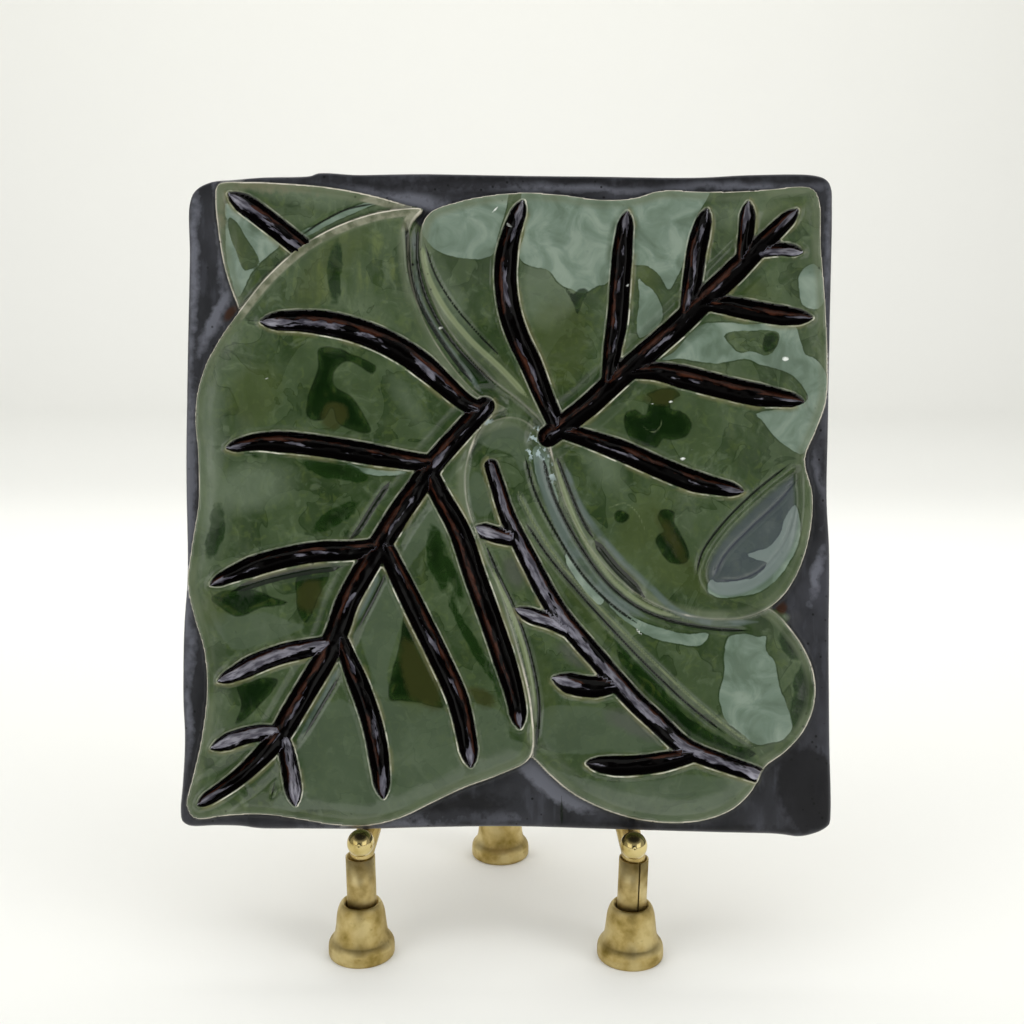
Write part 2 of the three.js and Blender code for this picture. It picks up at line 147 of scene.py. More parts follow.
def brass(name, light, mid, dark, roughness, line_mm=0):
    """Brass that has gone dull in the air: a warm metal, patchy with brown spots, and finely scored by the lathe."""
    material = bpy.data.materials.new(name)
    material.use_nodes = True
    tree = material.node_tree
    shader = tree.nodes["Principled BSDF"]
    shader.inputs["Metallic"].default_value = 1
    place = add(tree, "ShaderNodeTexCoord").outputs["Object"]
    # The patches are 5 mm across and the spots 1.5 mm
    patches = add(tree, "ShaderNodeTexNoise", {"Vector": place, "Scale": 1 / (5 * MM), "Detail": 5})
    spots = add(tree, "ShaderNodeTexNoise", {"Vector": place, "Scale": 1 / (1.5 * MM), "Detail": 3})
    base = ramp(tree, patches.outputs["Fac"], [(0.3, dark), (0.46, mid), (0.62, light)])
    spotted = add(tree, "ShaderNodeMapRange", {"Value": spots.outputs["Fac"], "From Min": 0.64, "From Max": 0.76,
                                               "To Max": 0.45})
    mixed = add(tree, "ShaderNodeMix", {0: spotted.outputs[0], 6: base, 7: colour(dark)}, data_type="RGBA")
    tree.links.new(mixed.outputs[2], shader.inputs["Base Color"])
    rough = add(tree, "ShaderNodeMapRange", {"Value": patches.outputs["Fac"], "From Min": 0.3, "From Max": 0.7,
                                             "To Min": roughness + 0.1, "To Max": roughness - 0.04})
    tree.links.new(rough.outputs[0], shader.inputs["Roughness"])
    height = add(tree, "ShaderNodeTexNoise", {"Vector": place, "Scale": 1 / (0.9 * MM), "Detail": 4}).outputs["Fac"]
    if line_mm:
        # The tool's marks run round the axis, and are drawn coarser than they are so that they show
        split = add(tree, "ShaderNodeSeparateXYZ", {"Vector": place})
        marks = add(tree, "ShaderNodeTexNoise", {"W": split.outputs["Z"], "Scale": 1 / (line_mm * MM), "Detail": 2},
                    noise_dimensions="1D")
        height = add(tree, "ShaderNodeMath", {0: height, 1: marks.outputs["Fac"]}, operation="ADD").outputs[0]
    bump = add(tree, "ShaderNodeBump", {"Height": height, "Strength": 0.25, "Distance": 0.03 * MM})
    tree.links.new(bump.outputs["Normal"], shader.inputs["Normal"])
    return material


def socket_input(tree, name, kind, default=None):
    socket = tree.interface.new_socket(name=name, in_out="INPUT", socket_type="NodeSocket" + kind)
    if default is not None:
        socket.default_value = default
    return socket.identifier


def geometry_tree(name, inputs):
    """An empty Geometry Nodes tree with named inputs, and the identifier of each input."""
    tree = bpy.data.node_groups.new(name, "GeometryNodeTree")
    tree.interface.new_socket(name="Geometry", in_out="OUTPUT", socket_type="NodeSocketGeometry")
    named = {"Geometry": socket_input(tree, "Geometry", "Geometry")}
    for label, kind, default in inputs:
        named[label] = socket_input(tree, label, kind, default)
    return tree, named, add(tree, "NodeGroupInput").outputs


def grown(thing, tree, identifiers, values):
    """Runs a tree on an object and keeps its result as a plain mesh at the origin."""
    modifier = thing.modifiers.new(tree.name, "NODES")
    modifier.node_group = tree
    for label, value in values.items():
        modifier[identifiers[label]] = value
    evaluated = thing.evaluated_get(bpy.context.evaluated_depsgraph_get())
    result = bpy.data.meshes.new_from_object(evaluated)
    result.name = thing.name
    thing.modifiers.clear()
    thing.data = result
    return thing


def turned_repeat_tree():
    """Stands a copy of one turned piece on every point, turned by the point's own angle."""
    tree, named, given = geometry_tree("Turned pieces on points", [
        ("Piece", "Object", None), ("Material", "Material", None)])
    piece = add(tree, "GeometryNodeObjectInfo", {"Object": given["Piece"], "As Instance": True})
    turn = add(tree, "GeometryNodeInputNamedAttribute", {"Name": "turn"}, data_type="FLOAT_VECTOR")
    copies = add(tree, "GeometryNodeInstanceOnPoints", {
        "Points": given["Geometry"], "Instance": piece.outputs["Geometry"], "Rotation": turn.outputs[0]})
    real = add(tree, "GeometryNodeRealizeInstances", {"Geometry": copies.outputs[0]})
    dressed = add(tree, "GeometryNodeSetMaterial", {"Geometry": real.outputs[0], "Material": given["Material"]})
    add(tree, "NodeGroupOutput", {"Geometry": dressed.outputs[0]})
    return tree, named


def points_object(name, places, turns):
    """Bare points in millimetres, each with the angles that its copy is turned by."""
    thing = mesh_object(name, [Vector(place) * MM for place in places], [])
    attribute = thing.data.attributes.new("turn", "FLOAT_VECTOR", "POINT")
    attribute.data.foreach_set("vector", np.array(turns, float).ravel())
    return thing


def foot_centre(side):
    low, high = box_mm(f"bell_foot_{side}")
    return np.array([(low[0] + high[0]) / 2, (low[1] + high[1]) / 2, 0])


SIDES = ("left", "right", "rear")
feet = {side: foot_centre(side) for side in SIDES}
bell_low, bell_high = box_mm("bell_foot_left")
bell_radius = (bell_high[0] - bell_low[0]) / 2
bell_height = bell_high[2]
sleeve_low, sleeve_high = box_mm("sleeve_rear")
sleeve_radius = (sleeve_high[1] - sleeve_low[1]) / 2 + 0.01

bell_outside = spline([(bell_radius * across, bell_height * up) for across, up in (
    (0.985, 0.012), (1, 0.045), (1, 0.1), (0.998, 0.165), (0.985, 0.182), (0.992, 0.2), (0.965, 0.25), (0.915, 0.295),
    (0.863, 0.33), (0.828, 0.37), (0.8, 0.42), (0.776, 0.5), (0.757, 0.6), (0.735, 0.72), (0.717, 0.8),
    (0.682, 0.88), (0.63, 0.955), (0.565, 1), (0.52, 0.985), (0.47, 0.955))], 0.25)
bell_profile = [(0, 0), (0.965 * bell_radius, 0), *bell_outside,
                (sleeve_radius + 0.06, 0.93 * bell_height), (sleeve_radius + 0.06, 0.6 * bell_height),
                (0, 0.6 * bell_height)]
foot_brass = brass("Dull turned brass", "#d3c18a", "#bfa96c", "#94803f", 0.46, line_mm=0.35)
repeat_tree, repeat_inputs = turned_repeat_tree()

bell = turned("bell", bell_profile)
bell_feet = grown(
    points_object("bell_feet", [feet[side] for side in SIDES], [(0, 0, 0.4), (0, 0, 1.9), (0, 0, 3.5)]),
    repeat_tree, repeat_inputs, {"Piece": bell, "Material": foot_brass})
bpy.data.objects.remove(bell)
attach(bell_feet, "root")
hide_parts(*(f"bell_foot_{side}" for side in SIDES))

# The three collars
# Thin brass sheet rolled into a tube round the rod, with its open seam left showing.
# They are pushed into the bell feet, and are duller than the feet because nobody ever polished the sheet.
# The front frame was soldered up a little racked, so its two collars lean over by this much.
RACK = math.radians(1.3)
bell_bore_floor = 7.75
sleeve_turns = {"left": -130, "right": 20, "rear": 180}


def sleeve_tree():
    """Rolls a strip of sheet round every point, with its seam towards -Y before it is turned."""
    tree, named, given = geometry_tree("Rolled collars", [
        ("Diameter", "Float", 0.0072), ("Wall", "Float", 0.0004), ("Length", "Float", 0.018),
        ("Seam gap", "Float", 0.0004), ("Material", "Material", None)])

    def arithmetic(operation, first, second):
        return add(tree, "ShaderNodeMath", {0: first, 1: second}, operation=operation).outputs[0]

    middle = arithmetic("MULTIPLY", arithmetic("SUBTRACT", given["Diameter"], given["Wall"]), 0.5)
    seam = arithmetic("DIVIDE", given["Seam gap"], middle)
    start = arithmetic("SUBTRACT", arithmetic("MULTIPLY", seam, 0.5), math.pi / 2)
    arc = add(tree, "GeometryNodeCurveArc", {
        "Resolution": 72, "Radius": middle, "Start Angle": start,
        "Sweep Angle": arithmetic("SUBTRACT", 2 * math.pi, seam)}, mode="RADIUS")
    strip = add(tree, "GeometryNodeCurvePrimitiveQuadrilateral", {"Width": given["Wall"], "Height": given["Length"]})
    rolled = add(tree, "GeometryNodeCurveToMesh", {
        "Curve": arc.outputs[0], "Profile Curve": strip.outputs[0], "Fill Caps": True})
    turn = add(tree, "GeometryNodeInputNamedAttribute", {"Name": "turn"}, data_type="FLOAT_VECTOR")
    copies = add(tree, "GeometryNodeInstanceOnPoints", {
        "Points": given["Geometry"], "Instance": rolled.outputs[0], "Rotation": turn.outputs[0]})
    real = add(tree, "GeometryNodeRealizeInstances", {"Geometry": copies.outputs[0]})
    dressed = add(tree, "GeometryNodeSetMaterial", {"Geometry": real.outputs[0], "Material": given["Material"]})
    add(tree, "NodeGroupOutput", {"Geometry": dressed.outputs[0]})
    return tree, named


sleeve_brass = brass("Rolled brass sheet", "#d6c592", "#c3ae76", "#9c8750", 0.46)
tree, inputs = sleeve_tree()
sleeve_middle = (sleeve_low[2] + sleeve_high[2]) / 2
racks = {"left": RACK, "right": RACK, "rear": 0}
sleeves = grown(
    points_object("sleeves",
                  [feet[side] + (math.tan(racks[side]) * (sleeve_middle - bell_bore_floor), 0, sleeve_middle)
                   for side in SIDES],
                  [(0, racks[side], math.radians(sleeve_turns[side])) for side in SIDES]),
    tree, inputs, {"Diameter": 2 * sleeve_radius * MM, "Wall": 0.4 * MM,
                   "Length": (sleeve_high[2] - sleeve_low[2]) * MM, "Seam gap": 0.35 * MM, "Material": sleeve_brass})
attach(sleeves, "root")
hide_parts(*(f"sleeve_{side}" for side in SIDES))

# The three rods
# Drawn brass rod, upright in each collar, bent just above it, and leaning to the knob behind the tile.
# The front two lie in the plane that the tile leans back on, and were bent cold, so the bend is short and smooth.
LEAN = math.radians(12.6)
SPLAY = math.radians(15)
rod_diameter = 5.8
bend_above_sleeve = 0.6
knob_drop = 18
across = np.array([1.0, 0, 0])
up_lean = np.array([0, math.sin(LEAN), math.cos(LEAN)])
out_front = np.array([0, -math.cos(LEAN), math.sin(LEAN)])
bend_height = sleeve_high[2] + bend_above_sleeve
lean_origin = (feet["left"] + feet["right"]) / 2 + (0, 0, bend_height)
spacing = feet["right"][0] - feet["left"][0]
rack_shift = (bend_height - bell_bore_floor) * math.tan(RACK)
apex_height = spacing / (math.tan(SPLAY + RACK) + math.tan(SPLAY - RACK))
apex_across = rack_shift - spacing / 2 + apex_height * math.tan(SPLAY + RACK)
apex = lean_origin + across * apex_across + up_lean * apex_height
knob_base = apex[2] - knob_drop
bends = {side: feet[side] + across * (rack_shift if side != "rear" else 0) + (0, 0, bend_height) for side in SIDES}


def rods_tree():
    """Rounds the corner of every route and sweeps a round rod along it."""
    tree, named, given = geometry_tree("Bent rods", [
        ("Diameter", "Float", 0.0058), ("Bend radius", "Float", 0.008), ("Material", "Material", None)])
    route = add(tree, "GeometryNodeMeshToCurve", {"Mesh": given["Geometry"]})
    bent = add(tree, "GeometryNodeFilletCurve", {"Curve": route.outputs[0], "Radius": given["Bend radius"]})
    for node in (bent,):
        if "Mode" in node.inputs:
            node.inputs["Mode"].default_value = "Poly"
        else:
            node.mode = "POLY"
        node.inputs["Count"].default_value = 10
    radius = add(tree, "ShaderNodeMath", {0: given["Diameter"], 1: 0.5}, operation="MULTIPLY")
    section = add(tree, "GeometryNodeCurvePrimitiveCircle", {"Resolution": 48, "Radius": radius.outputs[0]})
    rod = add(tree, "GeometryNodeCurveToMesh", {
        "Curve": bent.outputs[0], "Profile Curve": section.outputs[0], "Fill Caps": True})
    real = add(tree, "GeometryNodeRealizeInstances", {"Geometry": rod.outputs[0]})
    dressed = add(tree, "GeometryNodeSetMaterial", {"Geometry": real.outputs[0], "Material": given["Material"]})
    add(tree, "NodeGroupOutput", {"Geometry": dressed.outputs[0]})
    return tree, named


def rod_route(side):
    """From the bottom of the collar up to the bend and on into the knob."""
    bend = bends[side]
    foot = feet[side] + (0, 0, bell_bore_floor)
    start = foot + (bend - foot) * (sleeve_low[2] - foot[2]) / (bend[2] - foot[2])
    end = bend + (apex - bend) * (knob_base + 0.5 - bend[2]) / (apex[2] - bend[2])
    return [start, bend, end]


rod_brass = brass("Drawn brass rod", "#cbb67c", "#b49d62", "#86703c", 0.26)
vertices = [Vector(point) * MM for side in SIDES for point in rod_route(side)]
legs = mesh_object("legs", vertices, [])
legs.data.clear_geometry()
legs.data.from_pydata(vertices, [(0, 1), (1, 2), (3, 4), (4, 5), (6, 7), (7, 8)], [])
tree, inputs = rods_tree()
legs = grown(legs, tree, inputs, {"Diameter": rod_diameter * MM, "Bend radius": 9 * MM, "Material": rod_brass})
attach(legs, "root")
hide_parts(*(f"leg_{side}" for side in SIDES))

# The knob
# A turned brass dome with a ball on top, bored for the three rods and filed flat where the tile leans on it.
# The tile hides it in the photograph, so it follows the feet and the pegs.
knob_low, knob_high = box_mm("top_knob")
knob_radius = (knob_high[0] - knob_low[0]) / 2
knob_centre = np.array([(knob_low[0] + knob_high[0]) / 2, knob_high[1] - knob_radius, knob_low[2]])
dome_height = 11.5
finial_radius = 3
dome = [(knob_radius * math.cos(a), dome_height * (0.3 + 0.7 * math.sin(a)))
        for a in np.linspace(0, 0.5 * math.pi, 24)[:-4]]
neck_angle = math.asin(0.6)
ball_centre = dome_height + finial_radius * math.cos(neck_angle)
ball = [(finial_radius * math.sin(a), ball_centre - finial_radius * math.cos(a))
        for a in np.linspace(neck_angle, math.pi, 24)]
knob_profile = [(0, 0), (knob_radius - 0.4, 0), (knob_radius - 0.1, 0.12), (knob_radius, 0.4), *dome, *ball]
knob = turned("knob", knob_profile)
knob.data.transform(Matrix.Translation(Vector(knob_centre) * MM))
cut = bmesh.new()
cut.from_mesh(knob.data)
flat = (lean_origin + out_front * rod_diameter / 2) * MM
sliced = bmesh.ops.bisect_plane(cut, geom=cut.verts[:] + cut.edges[:] + cut.faces[:], plane_co=flat,
                                plane_no=out_front, clear_outer=True)
rim = [edge for edge in sliced["geom_cut"] if isinstance(edge, bmesh.types.BMEdge)]
for face in bmesh.ops.holes_fill(cut, edges=rim)["faces"]:
    face.smooth = False
cut.to_mesh(knob.data)
cut.free()
knob.data.materials.append(foot_brass)
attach(knob, "root")
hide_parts("top_knob")

# The two pegs
# Turned brass pins, let into the front rods square to the tile, each with a polished ball at its end.
# The tile's lower edge rests on their plain shanks, and each ball still has the small dent of the lathe's centre.
peg_height = 6.5
peg_diameter = 3
ball_diameter = 6.3
slab_thickness = 8.6
ball_standoff = 5.7
fit = 0.3
ball_reach = rod_diameter / 2 + fit + slab_thickness + ball_standoff
ball_radius = ball_diameter / 2
start_angle = math.asin(peg_diameter / ball_diameter)
peg_ball = [(ball_radius * math.sin(a), ball_reach - ball_radius * math.cos(a))
            for a in np.linspace(start_angle, math.pi - 0.11, 40)]
dent = [(0.28, ball_reach + ball_radius - 0.03), (0.2, ball_reach + ball_radius - 0.14)]
peg_profile = [(0, 0), (peg_diameter / 2, 0), *peg_ball, *dent, (0, ball_reach + ball_radius - 0.16)]
peg = turned("peg", peg_profile, sides=72)
peg_places = [bends[side] + (apex - bends[side]) * peg_height / apex_height for side in ("left", "right")]
peg_brass = brass("Polished brass", "#d8c68c", "#c9b577", "#a08a4c", 0.12)
pegs = grown(
    points_object("pegs", peg_places, [(math.pi / 2 - LEAN, 0, 0)] * 2),
    repeat_tree, repeat_inputs, {"Piece": peg, "Material": peg_brass})
bpy.data.objects.remove(peg)
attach(pegs, "root")
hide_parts("peg_left", "peg_right")

# The tile: its drawing
# One hand-cut slab of stoneware. The leaves were left standing and the ground was scraped away round them,
# and the veins were cut with a round gouge. Every line here is drawn in millimetres, across from the stand's
# middle and up from the tile's lower edge.
base_line = 0.5
tile_origin = (lean_origin + up_lean * (peg_height + peg_diameter / 2 + fit + base_line)
               + out_front * (rod_diameter / 2 + fit))
leaf_rise = {"corner": 1.5, "lower": 1.7, "upper": 2.6, "left": 2.6}
tile_corners = ((-74.1, 0.5), (78.7, 1.2), (78.6, 153.6), (-73.4, 150.6))

tile_outline = [
    (-72.6, -0.1), (-66, 0), (-60, -0.1), (-56, -0.6), (-46, -0.6), (-31, -0.5), (-13, 0.1), (5, 0.4), (24, 0),
    (55, -0.6), (67, -0.9), (71.6, -1.4), (74.4, -0.9), (77.4, 0.3), (78.8, 1.6), (79.1, 4), (78.8, 21), (78.6, 45),
    (78.7, 66), (78.1, 78), (78.4, 97), (78.9, 125), (79.3, 148), (79.1, 152.4), (78, 154.4), (75.5, 155.4),
    (60, 155.5), (46, 154.8), (25, 155), (0, 155.2), (-20, 155.5), (-35, 155.2), (-41, 155.6), (-43.8, 155.5),
    (-45.2, 154.9), (-57, 154.5), (-64, 153.9), (-69, 153.4), (-72.6, 151.6), (-74.2, 148.4), (-74.1, 135),
    (-74.3, 110), (-74.3, 85), (-73.7, 59), (-74.3, 47), (-74.3, 30), (-73.8, 20), (-74.2, 9), (-74.6, 4), (-74.2, 1),
]
leaves = {
    "corner": [
        (-67.3, 152.3), (-60, 153), (-50, 152.6), (-40, 151.7), (-30, 149.8), (-22, 147.6), (-18, 146.3),
        (-30, 140), (-50, 128), (-60, 119), (-62.5, 124), (-65.3, 132), (-67, 141), (-67.8, 149)],
    "lower": [
        (8.3, 17), (13, 12.5), (18, 8.5), (25, 5), (33, 2.6), (41, 1.8), (49, 2.5), (56, 5.3), (60.5, 9.8),
        (63, 14.8), (68, 18.6), (72.3, 23.5), (74.9, 30), (74.8, 37), (72.5, 43), (69, 48), (65, 52), (50, 58),
        (25, 75), (5, 97), (-6, 94), (-12, 88), (-13, 75), (-8, 58), (-3, 40), (0, 28), (3, 20)],
    "upper": [
        (-17, 145.2), (-10, 148.2), (-3, 149.7), (6, 150.5), (15, 150), (25, 148.8), (32, 149.3), (38, 151),
        (50, 150.8), (62, 151.3), (74, 151.8), (75.8, 149), (76.2, 138), (77.2, 125), (77.8, 110), (77.4, 101),
        (75, 94), (72.5, 87.5), (74.3, 79), (73.5, 69), (70.5, 60), (66, 53.8), (60, 50.5), (53, 49.5),
        (44, 50.5), (36, 53.5), (28, 59), (21, 67), (16, 76), (13, 86), (10.5, 95), (5, 100.5), (-2, 106),
        (-9, 113.5), (-14.5, 121.5), (-18, 131), (-19, 139)],
    "left": [
        (-18, 146.3), (-26, 146), (-33, 144.3), (-41, 141), (-48, 136.5), (-55, 130), (-61, 122.5), (-66, 115.5),
        (-70, 107.5), (-71.8, 98), (-71, 88), (-70.7, 77), (-72.2, 66), (-73, 57), (-71.3, 49), (-69, 41.5),
        (-68.2, 32), (-69.3, 21), (-71.2, 12), (-72.6, 5), (-70.8, 2.1), (-63, 2.7), (-55, 3.1), (-46, 2),
        (-37, 0.7), (-29, 0.8), (-22, 2.6), (-15, 6), (-7, 9.8), (1, 12.8), (8.3, 17), (8.6, 28), (5.5, 42),
        (1.5, 55), (-3, 66), (-7, 78), (-6.5, 88), (-2, 97), (2, 99), (-4.5, 102.5), (-11, 109.5), (-16.5, 118),
        (-20.2, 128), (-21.3, 137), (-20.5, 143)],
}
folded_tip = [
    (71, 86), (66, 83), (59, 77), (52, 69.5), (48.3, 63), (48, 59), (50.5, 55.5), (55, 54.6), (61, 56.5),
    (66.5, 61), (70.3, 67.5), (71.8, 75), (71.8, 81)]

# Each cut: its widths at the root, the middle and the tip, how much of its floor carries painted glints, and its route
# from the root to the tip
veins = {
    "left": (2.4, [
        (4.6, 5.4, 3.0, 0.35, [(-3, 99.5), (-9, 93), (-15, 86), (-19, 80), (-23, 74.3), (-26.8, 68), (-31.5, 60),
                               (-35.2, 53), (-37, 47.5), (-40.2, 40), (-44, 33.5), (-47.8, 27), (-50.8, 21.8),
                               (-55.5, 16.3), (-61, 11.3), (-69.3, 5.6)]),
        (3.6, 5.8, 4.2, 0.5, [(-4, 98.5), (-8, 100.6), (-12, 104), (-16, 107.6), (-20, 110.7), (-25, 113.7),
                              (-30, 116), (-38, 118.4), (-46, 119.4), (-55.5, 119.2)]),
        (3.8, 5.0, 2.6, 0.3, [(-15.5, 86), (-20, 86.4), (-30, 88), (-40, 89.6), (-50, 90.7), (-57, 90.7),
                              (-63.5, 89.3)]),
        (4.2, 4.8, 2.4, 0.35, [(-28.5, 66), (-34, 65.3), (-42, 64.9), (-50, 63.5), (-57, 61.5), (-62, 59.6),
                               (-67, 57.2)]),
        (3.6, 4.6, 2.4, 0.85, [(-38, 43.5), (-44, 42.3), (-50, 41), (-56, 38.8), (-61, 36.3), (-65, 34.5)]),
        (3.0, 4.0, 2.2, 0.9, [(-50.5, 22.5), (-55, 22.4), (-60, 21.3), (-66.5, 18.7)]),
        (3.2, 4.1, 3.4, 0.8, [(-50, 21), (-48.8, 17), (-47.7, 12), (-46.8, 6)]),
        (3.4, 4.8, 3.6, 0.35, [(-37, 45), (-34.8, 40), (-32.4, 34.5), (-29.6, 27), (-28, 21), (-27, 15),
                               (-26.2, 8)]),
        (4.2, 5.0, 4.2, 0.35, [(-27, 67), (-24.5, 62.5), (-18.2, 50), (-13.2, 40), (-8.9, 30.5), (-6.8, 22),
                               (-5.7, 15.5)]),
        (4.2, 5.2, 3.8, 0.2, [(-15.8, 83), (-13.5, 78.5), (-8.8, 70), (-5.3, 60), (-1.6, 50), (1.9, 40),
                              (4.6, 31), (5.6, 24.5)])]),
    "upper": (2.4, [
        (5.0, 5.4, 3.4, 0.3, [(12, 92.5), (17, 96.3), (21.4, 99.8), (28.6, 106.6), (35.7, 112.9), (42.9, 119.3),
                              (48.6, 125), (54.3, 130.4), (59.3, 135.4), (64.3, 140.4), (70, 146)]),
        (4.0, 5.2, 3.4, 0.45, [(14, 95), (10.8, 102), (7.5, 110), (4.6, 116), (2.6, 122), (1.6, 129), (1.8, 135),
                               (2.9, 140.5), (5.5, 147.8)]),
        (3.6, 4.8, 3.4, 0.4, [(26.3, 106), (26.8, 112), (28, 120), (28.7, 130), (29.4, 139), (30.2, 145.3)]),
        (3.6, 4.6, 3.2, 0.4, [(44.5, 121.5), (45.2, 126), (45.9, 131), (46.9, 138), (49, 146)]),
        (3.6, 3.8, 3.2, 0.45, [(57.8, 134), (58.2, 139), (58.8, 147.8)]),
        (2.2, 3.2, 2.0, 0.7, [(60, 136), (65, 137), (71.5, 136.3)]),
        (3.2, 4.8, 3.0, 0.15, [(47, 124.5), (53, 123.8), (60, 122.4), (67, 121.2), (73.5, 120.8)]),
        (3.4, 5.5, 2.8, 0.15, [(31, 108), (37, 108), (44, 106.5), (52, 104.5), (60, 102.7), (66, 101.8),
                               (71.5, 101)]),
        (3.8, 5.0, 3.0, 0.35, [(16.5, 93.5), (22, 91.7), (30, 88.8), (38, 85.3), (46, 82.2), (52, 80.8),
                               (57.3, 79.8)])]),
    "lower": (1.8, [
        (3.2, 4.6, 3.6, 0.75, [(-1.5, 85.5), (0.3, 80), (2.3, 74), (5, 68.3), (9.3, 60), (12, 55), (15.3, 50),
                              (19.5, 45), (24, 40), (28.3, 35), (33, 30), (38.5, 25), (43, 20.8), (46.5, 18.7),
                              (53, 16.3), (64, 12.6)]),
        (3.6, 3.8, 2.6, 0.7, [(2.8, 68.5), (-0.5, 69.3), (-5.2, 70.8)]),
        (3.2, 3.6, 2.4, 0.85, [(18.5, 46), (13, 48.8), (9, 50), (4.8, 51.7)]),
        (3.2, 5.0, 3.8, 0.45, [(28, 34), (23, 33.6), (18, 34.3), (13.8, 35.5)]),
        (3.2, 4.6, 3.2, 0.15, [(46.5, 18), (42, 16.9), (36, 15.8), (30, 15.3), (25, 15.5), (21.8, 15.8)])]),
    "corner": (2.2, [
        (5.0, 5.0, 4.2, 0.5, [(-46, 136.4), (-53, 141.9), (-59, 146.4), (-64, 149.7)])]),
}

# The lines beside the folds, with the width and the height of each: below nought it is a dark crease, and at
# nought a painted grey strip that stands in for the room reflected in the glaze
folds = [
    (1.0, -0.8, [(-22, 143.5), (-21.6, 137), (-20.9, 130.5), (-19, 124.5), (-15.4, 118), (-10.6, 111), (-5.4, 104.4)]),
    (0.8, -0.6, [(-19.3, 142.5), (-19.3, 134), (-17.8, 127), (-13.5, 118.5), (-8, 111.5), (0, 104.2)]),
    (1.3, 0.5, [(-18.3, 138), (-17, 131), (-13, 123), (-7, 115.5), (1, 108), (8, 100.5)]),
    (0.5, -0.3, [(-17.6, 138), (-15.2, 131), (-11, 124), (-4.6, 116.4), (1.6, 110.2)]),
    (0.9, -0.7, [(10.5, 88), (13.5, 78), (18.8, 68), (25.6, 58.6), (32.6, 52.8), (40, 49.6), (50, 47.6), (60, 47)]),
    (1.0, 0.5, [(13, 88), (16.6, 77), (21.5, 66.5), (28.4, 57.6), (36, 52.3), (44, 49.8)]),
    (0.9, -0.8, [(13.6, 88.4), (17.2, 79.3), (20, 72.9), (23.6, 67)]),
    (1.9, -1.2, [(22.6, 68.6), (25.4, 64.8), (28.4, 61.2), (31.8, 57.9), (35.6, 53.8)]),
    (1.4, 0, [(15.6, 86), (19.6, 76), (24, 69.6), (29.4, 63.4), (35.8, 57.4), (42, 51.8), (50, 49), (61.4, 49.2)]),
    (2.6, 0, [(9.6, 90), (10.6, 83), (13.4, 75), (17, 67), (22.4, 59.4), (28.6, 53.4), (36, 49.6)]),
    (1.2, 0, [(-20.2, 142), (-19, 126), (-14, 116.4), (-8, 108.4), (-3.5, 102.4)]),
    (1.6, 0, [(-27.4, 61), (-30.6, 54), (-35, 46)]),
    (0.8, -0.5, [(-25.6, 61), (-29, 53.6), (-33, 46)]),
    (1.2, 0, [(-36.4, 38.6), (-41, 30.4), (-46, 21)]),
    (0.2, 0.1, [(26, 75.6), (30, 76.8), (33, 74.4), (34.8, 70.4)]),
    (0.1, 0.1, [(34.2, 97), (34, 95.2), (36.8, 93.5), (38.4, 95.3), (38.8, 98.2)]),
    (0.7, -0.5, [(6.4, 88), (9, 79), (14.6, 68.4), (20.6, 59.4), (27, 53), (34, 48)]),
    (0.5, 0.6, [(4.6, 80), (9, 71.3), (15, 62.6), (22, 54.6), (30, 46.4), (38, 38.6), (46, 31.2), (55, 24), (61, 19.6)]),
    (0.7, -0.7, [(6.5, 72.5), (12, 64.4), (20, 55), (29.5, 44.8), (37, 37.2), (45, 29.8), (54, 22.8)]),
    (0.8, -0.5, [(9.6, 20), (10.2, 29), (8.3, 40), (4.6, 51), (0.3, 60), (-3.2, 68)]),
    (1.2, 0.5, [(8.3, 20), (8.9, 29), (6.9, 41), (3, 52.5), (-1.4, 62.5)]),
    (0.6, -0.4, [(46.9, 60), (48, 65), (52.5, 71.6), (60, 79.3), (69, 86.6)]),
    (0.7, -0.6, [(50.9, 59.2), (53.8, 64.8), (60, 71.4), (66.4, 77.4), (71, 83)]),
    (0.5, -0.4, [(51.6, 59), (56, 58.8), (61, 60.6), (65.5, 64.6), (68.6, 69.6), (70.4, 76)]),
    (0.6, -0.5, [(-21.2, 79), (-25, 73), (-22.5, 77), (-17.6, 82.6)]),
    (1.0, -0.6, [(-17.5, 79.5), (-22, 71), (-23.5, 67.5)]),
    (0.8, -0.5, [(-36.6, 36), (-41, 28.5), (-45.5, 20.6)]),
    (1.4, -0.8, [(-25, 82), (-29, 76), (-33, 69.6), (-36, 66.5)]),
    (2.0, -0.5, [(-36, 61.6), (-45, 60.4), (-55, 58), (-63, 55.2)]),
    (0.7, -0.3, [(15.7, 0.4), (15.6, 8)]),
    (0.5, -0.4, [(-60, 119.5), (-56, 119.3)]),
    (0.5, -0.3, [(-48, 139.3), (-42, 143.4), (-36, 146.4), (-28, 148)]),
    (0.6, -0.5, [(-60, 11.4), (-57, 7.2)]),
    (0.6, -0.5, [(-52.6, 6.4), (-51.4, 12)]),
]
